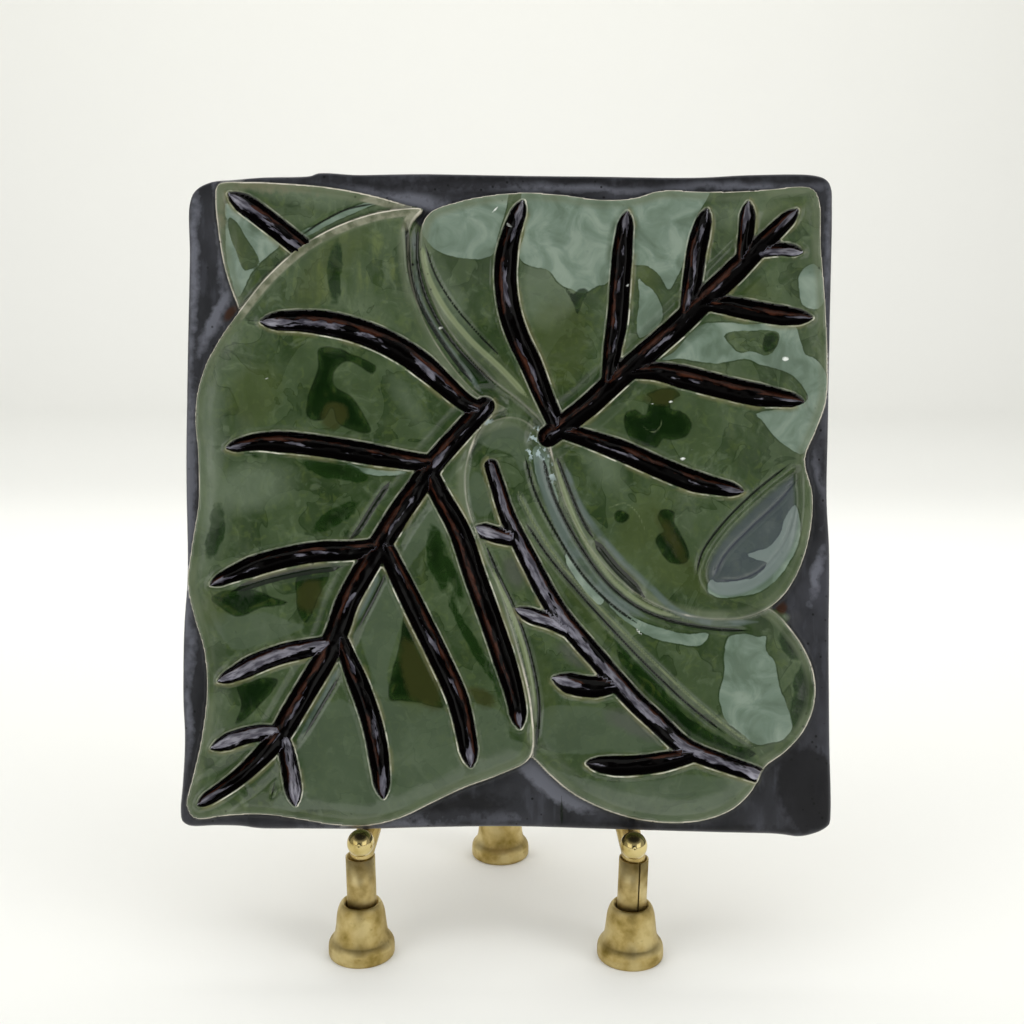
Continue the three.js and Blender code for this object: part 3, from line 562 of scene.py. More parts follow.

# Where the glaze pooled deep, stayed thin or caught an olive tone, and where sheen, grey reflections, speckled glints
# and white highlights are painted on: the middle, the half length, the half width and the angle of each patch
glaze_patches = {
    "deep": [
        (-38.6, 131, 8, 1.9, 88), (-14, 64, 8, 2.4, 100), (-10.5, 60, 8, 1.5, 115),
        (-38, 84, 9, 2.2, -12), (-38, 73, 7, 2.4, 35), (70.5, 44.5, 4.5, 2.6, -50), (72.4, 33, 9, 2.6, 84),
        (8, 116, 12, 0.9, -67), (-5, 107.5, 6, 2.2, -40), (27, 104.6, 8, 1.0, 40), (-4.6, 43, 16, 1.4, -63),
        (36, 35.5, 15, 1.3, -46), (54, 20.6, 8, 1.1, -28), (-20, 74, 6, 1.0, 60), (-43, 27.5, 8, 1.1, 60),
        (-66, 70, 7, 2, 80), (-1, 83, 6, 2.2, 120), (-55, 38, 8, 0.9, 22), (-60, 88.3, 6, 0.8, -6), (69.5, 44, 4, 3, -50)],
    "haze": [
        (-45, 150.4, 16, 2, -5), (-68, 85, 19, 4, 92), (-58, 80, 9, 5, 10), (24, 88, 8, 3, -60),
        (12, 128, 6, 10, 0), (60, 145, 8, 3, 0), (-12, 126, 8, 2, 115), (-21, 100, 4, 1, -55)],
    "amber": [(-18, 36, 9, 3.4, -66), (-43.6, 55, 4, 3, 60), (41, 68.5, 6, 1.2, -58), (38.4, 102, 4, 1.8, 10),
              (33, 57, 5, 1, -50), (-39, 97, 3, 3, 0), (-3.5, 31.5, 4, 1.8, -30)],
    "mirror": [(4.2, 60.4, 4, 2, -60), (19, 40.6, 5, 2, -30), (33, 24.5, 7, 2.4, -25)],
    "wiped": [(-56, 151.6, 10, 1.2, -2), (-66.4, 145, 7, 0.7, 84), (-68, 112, 7, 0.8, 60)],
    "frost": [(9.6, 90.6, 4.4, 2.4, 75), (-3.6, 97.5, 3, 1.2, -30), (12, 86, 4, 1, 105)],
    "glint": [
        (67.2, 110.6, 1.0, 0.5, 0), (40.4, 101, 0.6, 0.4, 0), (43.6, 87.6, 0.9, 0.4, -10), (36, 100, 0.5, 0.3, 0),
        (2.5, 143, 0.9, 0.35, 0), (-1, 146, 1.2, 0.3, 40), (-54, 106, 0.6, 0.3, 0), (46, 90, 0.5, 0.3, 0),
        (66, 54.8, 1.2, 0.3, 50), (30, 128, 0.5, 0.4, 0), (-14, 118.4, 0.5, 0.4, 0), (34, 47, 1.6, 0.3, -40)],
    "olive": [
        (14, 114, 12, 8, 80), (-17, 37, 10, 6, 80), (45, 60, 14, 4.5, -20), (-66, 53, 4, 5, 0), (66, 145, 8, 4, 10),
        (-30, 150, 16, 2.2, -10), (-62, 137, 6, 2, -75), (-40, 133, 14, 5, 50), (34, 71, 10, 5, 60),
        (30, 60, 8, 1.1, -50), (20, 53, 14, 1.6, -50), (11.5, 33, 7, 2, 100), (-57, 102, 8, 6, 80),
        (58, 127, 7, 3, -20), (35, 130, 6, 3, 100), (3, 105, 8, 2.4, -50)],
}
# The larger patches are drawn round: painted reflections with crisp edges, painted sheen, dark glaze pools, and gaps in
# the reflections
patch_outlines = {
    "pale": [
        [(54.2, 45.5), (58, 46.4), (61.5, 45.8), (63.2, 46), (63.6, 42.5), (65.5, 40), (66.3, 36), (67.2, 32.5),
         (69, 29), (69.8, 25), (67.5, 21.8), (64, 20.8), (61, 20.5), (57.5, 23), (54, 25.5), (52.6, 29), (52.4, 33),
         (53.4, 36.5), (53.2, 40.5)],
        [(-18.5, 141), (-16, 137.5), (-13, 135.4), (-9, 134.4), (-4, 134.2), (-1, 135.4), (0, 140), (2, 147),
         (2, 151), (-8, 150), (-17, 147)],
        [(5, 134.5), (8, 132.6), (11.5, 131.6), (14, 128.6), (17, 127.4), (20, 126), (23, 127.8), (25.6, 128.4),
         (27, 134), (28.5, 147), (26, 150), (6, 151.5), (5.5, 141)],
        [(25, 134), (31.6, 132.8), (35.5, 132.4), (38, 130), (40.2, 127), (42.4, 131), (44, 136), (46, 143),
         (50, 151.8), (36, 152), (25, 150.4)],
        [(32.8, 130.4), (33.8, 129), (36.5, 127), (38.5, 123.6), (39, 120.4), (36.6, 117.6), (33.4, 115.6),
         (32.6, 119), (33, 124)],
        [(42, 113.8), (47.5, 118.8), (52, 119.6), (58, 119.2), (66, 119.4), (70, 118.8), (71, 116), (72.4, 112),
         (75, 111), (77, 108), (77.6, 102), (76, 97), (74, 92), (71.5, 88.6), (67, 91), (64, 93.5), (62, 96.5),
         (60.5, 98.2), (70, 100), (72.5, 101.5), (71, 105), (67, 108), (62, 109.2), (58.4, 111), (55.4, 110.6),
         (51, 109.6), (42, 111), (38, 110.6)],
        [(70.6, 131.5), (74, 133.6), (76.4, 131), (76.8, 124), (74.5, 122.5), (71.4, 123.6), (70.4, 127)],
        [(-65.2, 148), (-64.1, 147.6), (-57.8, 142.8), (-51.9, 138), (-53.2, 136.4), (-57.4, 132.3), (-61, 126.4),
         (-62.1, 125.1), (-63.7, 129.1), (-65.3, 137.3), (-65.4, 142.8)],
        [(-47.6, 140.6), (-43, 143), (-38.6, 145.4), (-33.4, 147.8), (-27, 148.6), (-33, 146), (-40, 142.8),
         (-47.2, 139)],
        [(-36.5, 86.3), (-33, 85.4), (-27, 84.6), (-21, 84.1), (-23, 83.2), (-29, 83), (-34, 84.2)],
        [(15.8, 65), (17.4, 64.4), (19.4, 61.4), (22.4, 58), (25, 55.4), (25.6, 53.6), (24.4, 52.6), (22.4, 54),
         (19.6, 57.4), (17.2, 60.6), (16, 63)],
        [(26.6, 55.2), (31, 51.2), (37, 48.6), (44, 46.6), (50, 46.2), (48.4, 43.6), (44, 43.6), (38, 44.8),
         (33, 47.4), (29, 50), (26.4, 52.6)],
        [(50.4, 59.6), (51.6, 58.6), (56, 58.7), (60, 59.6), (62.4, 61.6), (63.4, 63.2), (61, 63.8), (58.6, 64.8),
         (61, 66), (64.5, 67.4), (66.4, 70), (68, 74.4), (70.4, 77), (71.2, 72), (70.4, 66), (67, 60.6), (62, 56.4),
         (56, 54.6), (51.4, 54.8), (49.4, 56.6)],
        [(8.6, 90), (12, 91), (12.6, 84), (14.6, 77), (13, 76), (10.4, 80), (8.8, 85)]],
    "milky": [
        [(-46, 29), (-40, 29.6), (-36, 30.8), (-33, 29), (-28, 31), (-24, 30.4), (-17, 29.4), (-11, 27.4), (-9.4, 20),
         (-7, 13), (-16, 7), (-26, 3.4), (-40, 4.4), (-52, 5), (-47, 14)],
        [(-5, 29.6), (2.8, 27), (3.4, 22), (6.6, 20), (2, 14), (-4, 12), (-6, 20)],
        [(10, 28), (20, 29.4), (30, 27.4), (36, 22.4), (40, 18.6), (36, 18), (26, 18), (20, 17.6), (12, 19)],
        [(12, 15), (20, 12.6), (36, 12), (46, 13.6), (60, 11), (56, 6), (42, 2.4), (26, 5)],
        [(-26, 60), (-22.6, 56.4), (-21, 52), (-22.4, 47), (-24.6, 41), (-25, 34), (-24.4, 31), (-28, 31.4),
         (-30, 38), (-31.8, 44.4), (-30.6, 50), (-28, 55)],
        [(-18, 74), (-15.6, 77), (-11, 68), (-14.4, 70), (-17, 66), (-22, 60), (-23, 63)],
        [(-1, 96), (5, 95.6), (8, 90), (6, 84), (3, 88), (-2.4, 89.6), (-5.4, 92)],
        [(-6, 84), (-3, 83), (-0.6, 75), (-4, 73), (-7, 77)],
        [(-67, 51), (-60, 50), (-54, 50.6), (-49, 49), (-45, 47.6), (-52, 44), (-62, 42)]],
    "pool": [
        [(-42.3, 112.8), (-38.2, 113.2), (-34, 111.6), (-28.7, 108.7), (-29.4, 107), (-35, 110), (-38.4, 107.4),
         (-38.2, 104), (-35, 101.9), (-32.3, 98.2), (-30, 93.4), (-35.9, 94.2), (-38.2, 96), (-39.4, 99),
         (-41.4, 96), (-45.1, 96.6), (-44.6, 101.9), (-43.2, 105.5), (-42.1, 108.7)],
        [(29.5, 96.1), (30.2, 97.9), (32.2, 98.7), (34.6, 97.4), (35.2, 99.7), (36.3, 101.5), (34.9, 102.4),
         (37.7, 103.5), (40.9, 103.8), (42.9, 102.2), (40.9, 101.3), (40.4, 99.3), (43.1, 98.6), (45.4, 96.3),
         (45.8, 94.5), (44.5, 92.7), (40.9, 91.8), (38.8, 92), (37.7, 90), (34.9, 90.2), (32.2, 91.1), (30.4, 93.3)],
        [(38.1, 75.2), (39.7, 75.6), (41.5, 74.7), (41.3, 72.4), (42.7, 70.2), (44.7, 66.5), (45.2, 64.3),
         (43.6, 62.9), (41.3, 62.9), (39, 64.7), (37.2, 68.4), (37.9, 69.6), (39.4, 70.2), (38.4, 72), (37.7, 73.8)],
        [(27.5, 74.3), (29, 75.1), (31.2, 73.6), (29.5, 72.1), (27.9, 72.7)],
        [(-60.6, 33.6), (-51.4, 34.6), (-55.6, 28.4), (-61, 24.2), (-59.6, 29)],
        [(-21.1, 50.6), (-17.9, 44.2), (-14.7, 35.6), (-12.2, 28.8), (-20.6, 30.4), (-24.9, 30.8), (-24.6, 35.6),
         (-22.8, 43.3)],
        [(-46.9, 59), (-39.2, 60.2), (-41.6, 54.6), (-45.2, 48.4), (-46.4, 50.4), (-47, 55)],
        [(28, 42.4), (34, 37), (40, 31.2), (46, 26), (53, 21.6), (61, 18.6), (58, 17.2), (50, 19.6), (44, 23.4),
         (38, 28.6), (31, 36)],
        [(-67, 53.8), (-60, 56), (-52, 54), (-49, 53), (-55, 51.6), (-60, 49.6), (-64, 51.4)],
        [(15.4, 128), (17.4, 124.4), (18.6, 121.4), (19.8, 124.6), (21, 127), (18.8, 127.4), (17.6, 126.4)],
        [(63.4, 117), (65.8, 116.8), (65.4, 113.8), (62.6, 112.4), (62.2, 114.6)]],
    "hole": [
        [(-64.4, 143.9), (-62.4, 142.3), (-60.1, 139.1), (-57.4, 134.6), (-57.8, 132.6), (-60.1, 131.5),
         (-61.9, 135.1), (-64.2, 140.5)],
        [(53.3, 116.3), (57.4, 117.2), (66, 116.8), (65.1, 113.6), (63.2, 111.7), (59.6, 113.1), (56.9, 112.7),
         (54.6, 114.5)]],
}
glaze_patches["slate_light"] = [
    (-73, 132, 18, 0.9, 90), (-67.4, 121, 9, 1.3, 68), (-66.8, 140, 12, 0.7, 93), (-72.5, 26, 8, 0.5, 90),
    (-24, 149.6, 14, 1.6, -8), (8, 151.8, 26, 0.9, 0),
    (-73, 70, 36, 1.8, 90), (-20, 1.6, 20, 1.6, 4),
    (60, 152.6, 18, 0.8, 1), (77.4, 120, 26, 0.7, 89), (75.6, 60, 5, 1, 75), (76.5, 83, 5, 1, 100),
    (14, 12, 12, 4, -35)]
glaze_patches["slate_dark"] = [
    (-12, 152.3, 20, 1.6, 0), (30, 154, 40, 0.9, 0), (73.5, 10, 7, 10, 10),
    (-71.5, 8, 5, 1.2, 85), (77.5, 86, 6, 1, 90), (-8, 4, 10, 3, 10), (68, 20, 4, 1.4, 60),
    (45, 0, 34, 1, 0)]
rust_spots = [(-64, 121.6, 2.4, 1.2, 50), (67.2, 52.2, 1.6, 1.3, 60)]

strokes = [
    (leaf, spline(route, 1.5), np.array([root, belly, tip]), depth, shine)
    for leaf, (depth, cuts) in veins.items() for root, belly, tip, shine, route in cuts]

# The tile: its relief
# The surface is one fine net of points, which follows the slab's hand-cut outline and is pulled onto the
# lines that were cut, so that every edge is crisp. Its heights come from the distance to each line.
grid_across = 300
grid_up = 304


def smooth(x, low, high):
    t = np.clip((x - low) / (high - low), 0, 1)
    return t * t * (3 - 2 * t)


def waves(places, size, seed, octaves=3):
    """Soft random hills between -1 and 1, about as wide as size."""
    random = np.random.default_rng(seed)
    total = np.zeros(len(places))
    weight = 0
    for octave in range(octaves):
        cell = places / (size / 2 ** octave) + 100
        low = np.floor(cell).astype(int)
        part = smooth(cell - low, 0, 1)
        table = random.uniform(-1, 1, (512, 512))
        corners = [table[(low[:, 0] + i) % 512, (low[:, 1] + j) % 512] for i in (0, 1) for j in (0, 1)]
        left = corners[0] * (1 - part[:, 1]) + corners[1] * part[:, 1]
        right = corners[2] * (1 - part[:, 1]) + corners[3] * part[:, 1]
        total += (left * (1 - part[:, 0]) + right * part[:, 0]) / 2 ** octave
        weight += 1 / 2 ** octave
    return total / weight


def line_length(line):
    return np.linalg.norm(np.diff(line, axis=0), axis=1).sum()


def to_line(places, line, reach):
    """For each place the distance to a line, the millimetres along it, which side it lies on and the nearest
    point of the line. Past reach the distance is only known to be large."""
    found = np.tile([1e3, 0, 1, 0, 0], (len(places), 1))
    picked = ((places > line.min(0) - reach) & (places < line.max(0) + reach)).all(1)
    spots = places[picked]
    best = found[picked]
    station = 0
    for start, end in zip(line, line[1:]):
        step = end - start
        length = math.hypot(*step)
        share = np.clip((spots - start) @ step / length ** 2, 0, 1)
        point = start + share[:, None] * step
        away = spots - point
        gap = np.hypot(away[:, 0], away[:, 1])
        side = np.sign(step[0] * away[:, 1] - step[1] * away[:, 0])
        closer = gap < best[:, 0]
        best[closer] = np.stack([gap, station + share * length, side, point[:, 0], point[:, 1]], axis=1)[closer]
        station += length
    found[picked] = best
    return found[:, 0], found[:, 1], found[:, 2], found[:, 3:]


def inside(places, loop):
    """Which places lie inside a closed line."""
    crossings = np.zeros(len(places), int)
    for (x0, y0), (x1, y1) in zip(loop, np.roll(loop, -1, axis=0)):
        spans = (y0 > places[:, 1]) != (y1 > places[:, 1])
        if spans.any():
            x = x0 + (places[spans, 1] - y0) * (x1 - x0) / (y1 - y0)
            crossings[spans] += places[spans, 0] < x
    return crossings % 2 == 1


def to_loop(places, loop, reach=8):
    """The distance to a closed line, above nought inside it, and the nearest point on it."""
    distance, _, _, nearest = to_line(places, np.vstack([loop, loop[:1]]), reach)
    return np.where(inside(places, loop), distance, -distance), nearest


def to_ovals(places, ovals):
    """About how many millimetres each place lies inside the nearest of some ovals, and below nought outside."""
    depth = np.full(len(places), -6.0)
    for x, y, long, short, degrees in ovals:
        angle = math.radians(degrees)
        away = places - (x, y)
        share = np.hypot((away @ (math.cos(angle), math.sin(angle))) / long,
                         (away @ (-math.sin(angle), math.cos(angle))) / short)
        depth = np.maximum(depth, (1 - share) * short)
    return depth


leaf_loops = {name: spline(points, 1.6, closed=True) for name, points in leaves.items()}
tip_loop = spline(folded_tip, 1.2, closed=True)


def half_width(along, length, widths):
    """The gouge's half width along a cut, which swells from the root and narrows to a round tip."""
    share = along / length
    width = np.interp(share, [0, 0.3, 0.75, 1], [widths[0], widths[1], widths[1], widths[2]])
    end = np.clip((length - along) / (0.8 * widths[2]), 0, 1)
    return 0.5 * width * (0.35 + 0.65 * np.sqrt(end))


def pulled(places):
    """Moves the places that lie just beside a cut edge onto it."""
    shift = np.zeros_like(places)
    gap = np.full(len(places), 0.28)

    def pull(distance, nearest, offset):
        away = places - nearest
        reach = np.maximum(np.hypot(away[:, 0], away[:, 1]), 1e-6)
        miss = np.abs(distance - offset)
        closer = miss < gap
        shift[closer] = (away / reach[:, None] * (offset - distance)[:, None])[closer]
        gap[closer] = miss[closer]

    covered = np.zeros(len(places), bool)
    for name in reversed(list(leaf_loops)):
        distance, nearest = to_loop(places, leaf_loops[name], 2)
        pull(np.where(covered, 1e3, np.abs(distance)), nearest, 0.0)
        covered |= distance > 0.8
    for _, line, widths, _, _ in strokes:
        distance, along, _, nearest = to_line(places, line, widths.max())
        pull(distance, nearest, half_width(along, line_length(line), widths))
    for _, lift, route in folds:
        if lift < 0:
            distance, _, _, nearest = to_line(places, spline(route, 1.5), 1)
            pull(distance, nearest, 0.0)
    return places + shift


def relief(places):
    """The height above the tile's back at each place, and the fields that the glaze's colours and its painted
    reflections, glints and shadows follow.
    """
    field = {}
    # The fold between the two large leaves and the lower leaf's upper side were glazed over, with no bare edge
    valley = to_ovals(places, [(-17, 128, 17, 5, 107), (-3, 106, 15, 5, 138), (4, 96, 12, 8, 0), (24, 62, 34, 12, -52),
                               (55, 49, 14, 3.5, 5), (2, 60, 34, 4, 110)])
    bare = smooth(valley, 1, -1)
    field["bare"] = bare
    height = slab_thickness + waves(places, 22, 1) * 0.2 + waves(places, 4, 2) * 0.06 + 1.1 * (1 - bare)
    leaf = np.full(len(places), -8.0)
    rim = np.full(len(places), -8.0)
    foot = np.full(len(places), 8.0)
    loop_distance = {}
    for number, (name, loop) in enumerate(leaf_loops.items()):
        distance = np.clip(to_loop(places, loop)[0], -8, 8)
        loop_distance[name] = distance
        top = slab_thickness + leaf_rise[name] + waves(places, 19, 10 + number) * 0.25
        top += 0.16 * np.exp(-((distance - 0.7) / 0.6) ** 2) - 0.25 * smooth(distance, 6, 1)
        step = smooth(distance, -0.3, 0.35)
        height = height * (1 - step) + top * step
        # The rim is how far inside the uppermost leaf a place lies, and the foot how far outside the leaf above it, for
        # its painted shadow
        on_leaf = distance > -0.02
        below = np.where(rim < 0, np.maximum(rim, distance), rim)
        rim = np.where(on_leaf, np.maximum(distance, 0), below)
        foot = np.where(distance > 0.02, 8.0, np.minimum(foot, np.maximum(-distance, 0)))
        leaf = np.maximum(leaf, distance)
    field.update(leaf=leaf, rim=rim, foot=foot)
    tip = np.clip(to_loop(places, tip_loop)[0], -8, 8)
    height -= 1.5 * smooth(tip, -0.2, 1.4)
    field["tip"] = tip
    for width, lift, route in folds:
        line = spline(route, 1.5)
        distance, along, _, _ = to_line(places, line, 4)
        fade = smooth(along, 0, 3) * smooth(line_length(line) - along, 0, 5)
        height += fade * lift * np.exp(-(distance / (0.62 * width)) ** 2)
        lines = {-1: "crease", 0: "band", 1: "ridge"}[np.sign(lift)]
        # How far each place lies outside the line, which tapers to nothing at both its ends
        field[lines] = np.minimum(field.get(lines, 6.0), distance - 0.5 * width * fade)
    warp = np.stack([waves(places, 7, 40, 3), waves(places, 7, 41, 3)], axis=1)
    for name, ovals in glaze_patches.items():
        field[name] = to_ovals(places + 1.2 * warp, ovals)
    for name, outlines in patch_outlines.items():
        depths = [to_loop(places + 0.5 * warp, spline(outline, 1, closed=True), 3)[0] for outline in outlines]
        field[name] = np.clip(np.max(depths, axis=0), -3, 3)
    # The gaps are cut out of the painted reflections
    field["pale"] = np.minimum(field["pale"], -field.pop("hole"))
    field["rust"] = to_ovals(places, rust_spots)
    field["bevel"] = to_ovals(places, [(-40, 135, 26, 7, 37), (-28, 145, 12, 5, 10)])
    field["brushed"] = to_ovals(places, [(-36, 133, 19, 9, 20)])
    cut = np.zeros(len(places))
    vein = np.full(len(places), 6.0)
    trough = np.zeros(len(places))
    course = np.zeros(len(places))
    lateral = np.zeros(len(places))
    shine = np.zeros(len(places))
    lip = np.zeros(len(places))
    for number, (leaf_name, line, widths, depth, gloss) in enumerate(strokes):
        distance, along, side, _ = to_line(places, line, 9)
        length = line_length(line)
        half = half_width(along, length, widths)
        edge = distance - half
        if leaf_name in ("corner", "lower"):
            edge = np.maximum(edge, loop_distance["left"])
        if leaf_name == "lower":
            edge = np.maximum(edge, 0.2 - loop_distance["lower"])
        share = np.clip(distance / np.maximum(half, 0.2), 0, 1)
        near = edge < 0
        sink = depth * (1 - share ** 3.4) * (0.5 + 0.5 * smooth(length - along, 0, 5))
        grain = np.stack([along, distance * side * 3.2], axis=1)
        sink[near] += 0.2 * waves(grain[near], 3.4, 30 + number, 2) * (1 - share[near] ** 4)
        cut = np.where(near, np.maximum(cut, sink), cut)
        # The lit side of each cut is the one that faces up and to the left
        run = line[-1] - line[0]
        lit = side * (1 if run @ (0.94, 0.35) > 0 else -1)
        closer = edge < vein
        vein = np.where(closer, edge, vein)
        course = np.where(closer, along + 40 * number, course)
        lateral = np.where(closer, share * lit, lateral)
        # How much of each cut's floor carries painted glints, more towards its tip
        shine = np.where(closer, gloss + 0.45 * smooth(length - along, 7, 1), shine)
        lip = np.maximum(lip, np.where(edge > -0.2, np.exp(-((edge - 0.35) / 0.35) ** 2), 0))
        if number in (0, 10):
            dish = np.clip(1 - (distance / 5.4) ** 2, 0, 1) * smooth(length - along, 0, 18)
            trough = np.maximum(trough, dish)
    lip *= 0.24 + 0.12 * waves(places, 5, 60, 2)
    height += np.where(vein < 0, 0, lip) - 0.8 * np.sqrt(trough) - cut
    field.update(trough=np.sqrt(trough), vein=vein, course=course, lateral=lateral, shine=shine)
    return height, field


def edge_curve(start, end, count):
    """The part of the outline from one corner to the next, as count + 1 evenly spaced places."""
    loop = spline(tile_outline, 1.0, closed=True)
    first = np.argmin(np.hypot(*(loop - start).T))
    last = np.argmin(np.hypot(*(loop - end).T))
    part = np.roll(loop, -first, axis=0)[:(last - first) % len(loop) + 1]
    lengths = np.concatenate([[0], np.cumsum(np.linalg.norm(np.diff(part, axis=0), axis=1))])
    at = np.linspace(0, lengths[-1], count + 1)
    return np.stack([np.interp(at, lengths, part[:, i]) for i in (0, 1)], axis=1)


bottom = edge_curve(tile_corners[0], tile_corners[1], grid_across)
right = edge_curve(tile_corners[1], tile_corners[2], grid_up)
top = edge_curve(tile_corners[2], tile_corners[3], grid_across)[::-1]
left = edge_curve(tile_corners[3], tile_corners[0], grid_up)[::-1]
s = np.linspace(0, 1, grid_across + 1)[None, :, None]
t = np.linspace(0, 1, grid_up + 1)[:, None, None]
net = ((1 - t) * bottom[None] + t * top[None] + (1 - s) * left[:, None] + s * right[:, None]
       - (1 - s) * (1 - t) * bottom[0] - s * (1 - t) * bottom[-1] - (1 - s) * t * top[0] - s * t * top[-1])
net[1:-1, 1:-1] = pulled(net[1:-1, 1:-1].reshape(-1, 2)).reshape(grid_up - 1, grid_across - 1, 2)
places = net.reshape(-1, 2)
heights, fields = relief(places)
columns = grid_across + 1
index = np.arange(len(places)).reshape(grid_up + 1, columns)
rim_ring = np.concatenate([index[0, :-1], index[:-1, -1], index[-1, :0:-1], index[:0:-1, 0]])

# The slab's edge is rounded where it was cut and wiped with a wet finger
edge_distance = to_line(places, np.vstack([places[rim_ring], places[rim_ring[:1]]]), 4)[0]
fields["edge"] = np.minimum(edge_distance, 6)
edge_round = 1.0
fall = edge_round * (1 - np.sqrt(np.clip(1 - (1 - np.clip(edge_distance / edge_round, 0, 1)) ** 2, 0, 1)))
heights -= fall


def placed(places, heights):
    """From the tile's own frame to the object's, in metres."""
    return (tile_origin + places[:, :1] * across + places[:, 1:] * up_lean + heights[:, None] * out_front) * MM


ring_places = places[rim_ring]
side_levels = [0.75, 0.5, 0.25, 0.06, 0]
ring_heights = heights[rim_ring]
side_rings = [placed(ring_places, ring_heights * level) for level in side_levels]
inward = -0.5 * (ring_places - ring_places.mean(0)) / np.linalg.norm(ring_places - ring_places.mean(0), axis=1)[:, None]
side_rings[-1] = placed(ring_places + inward, np.zeros(len(ring_places)))
vertices = np.concatenate([placed(places, heights)] + side_rings)
corner = index[:-1, :-1].ravel()
faces = np.stack([corner, corner + 1, corner + columns + 1, corner + columns], axis=1).tolist()
count = len(rim_ring)
rings = [rim_ring] + [len(places) + level * count + np.arange(count) for level in range(len(side_levels))]
for upper_ring, lower_ring in zip(rings, rings[1:]):
    faces += np.stack([upper_ring, lower_ring, np.roll(lower_ring, -1), np.roll(upper_ring, -1)], axis=1).tolist()
back_face = len(faces)
faces.append(rings[-1][::-1].tolist())
tile = mesh_object("relief_tile", vertices.tolist(), faces)
tile.data.polygons[back_face].use_smooth = False
ring_count = len(vertices) - len(places)
fields["cheek"] = np.zeros(len(places))
for name, values in fields.items():
    beside = np.ones(ring_count) if name == "cheek" else np.tile(values[rim_ring], len(side_levels))
    whole = np.concatenate([values, beside]).astype(np.float32)
    tile.data.attributes.new(name, "FLOAT", "POINT").data.foreach_set("value", whole)


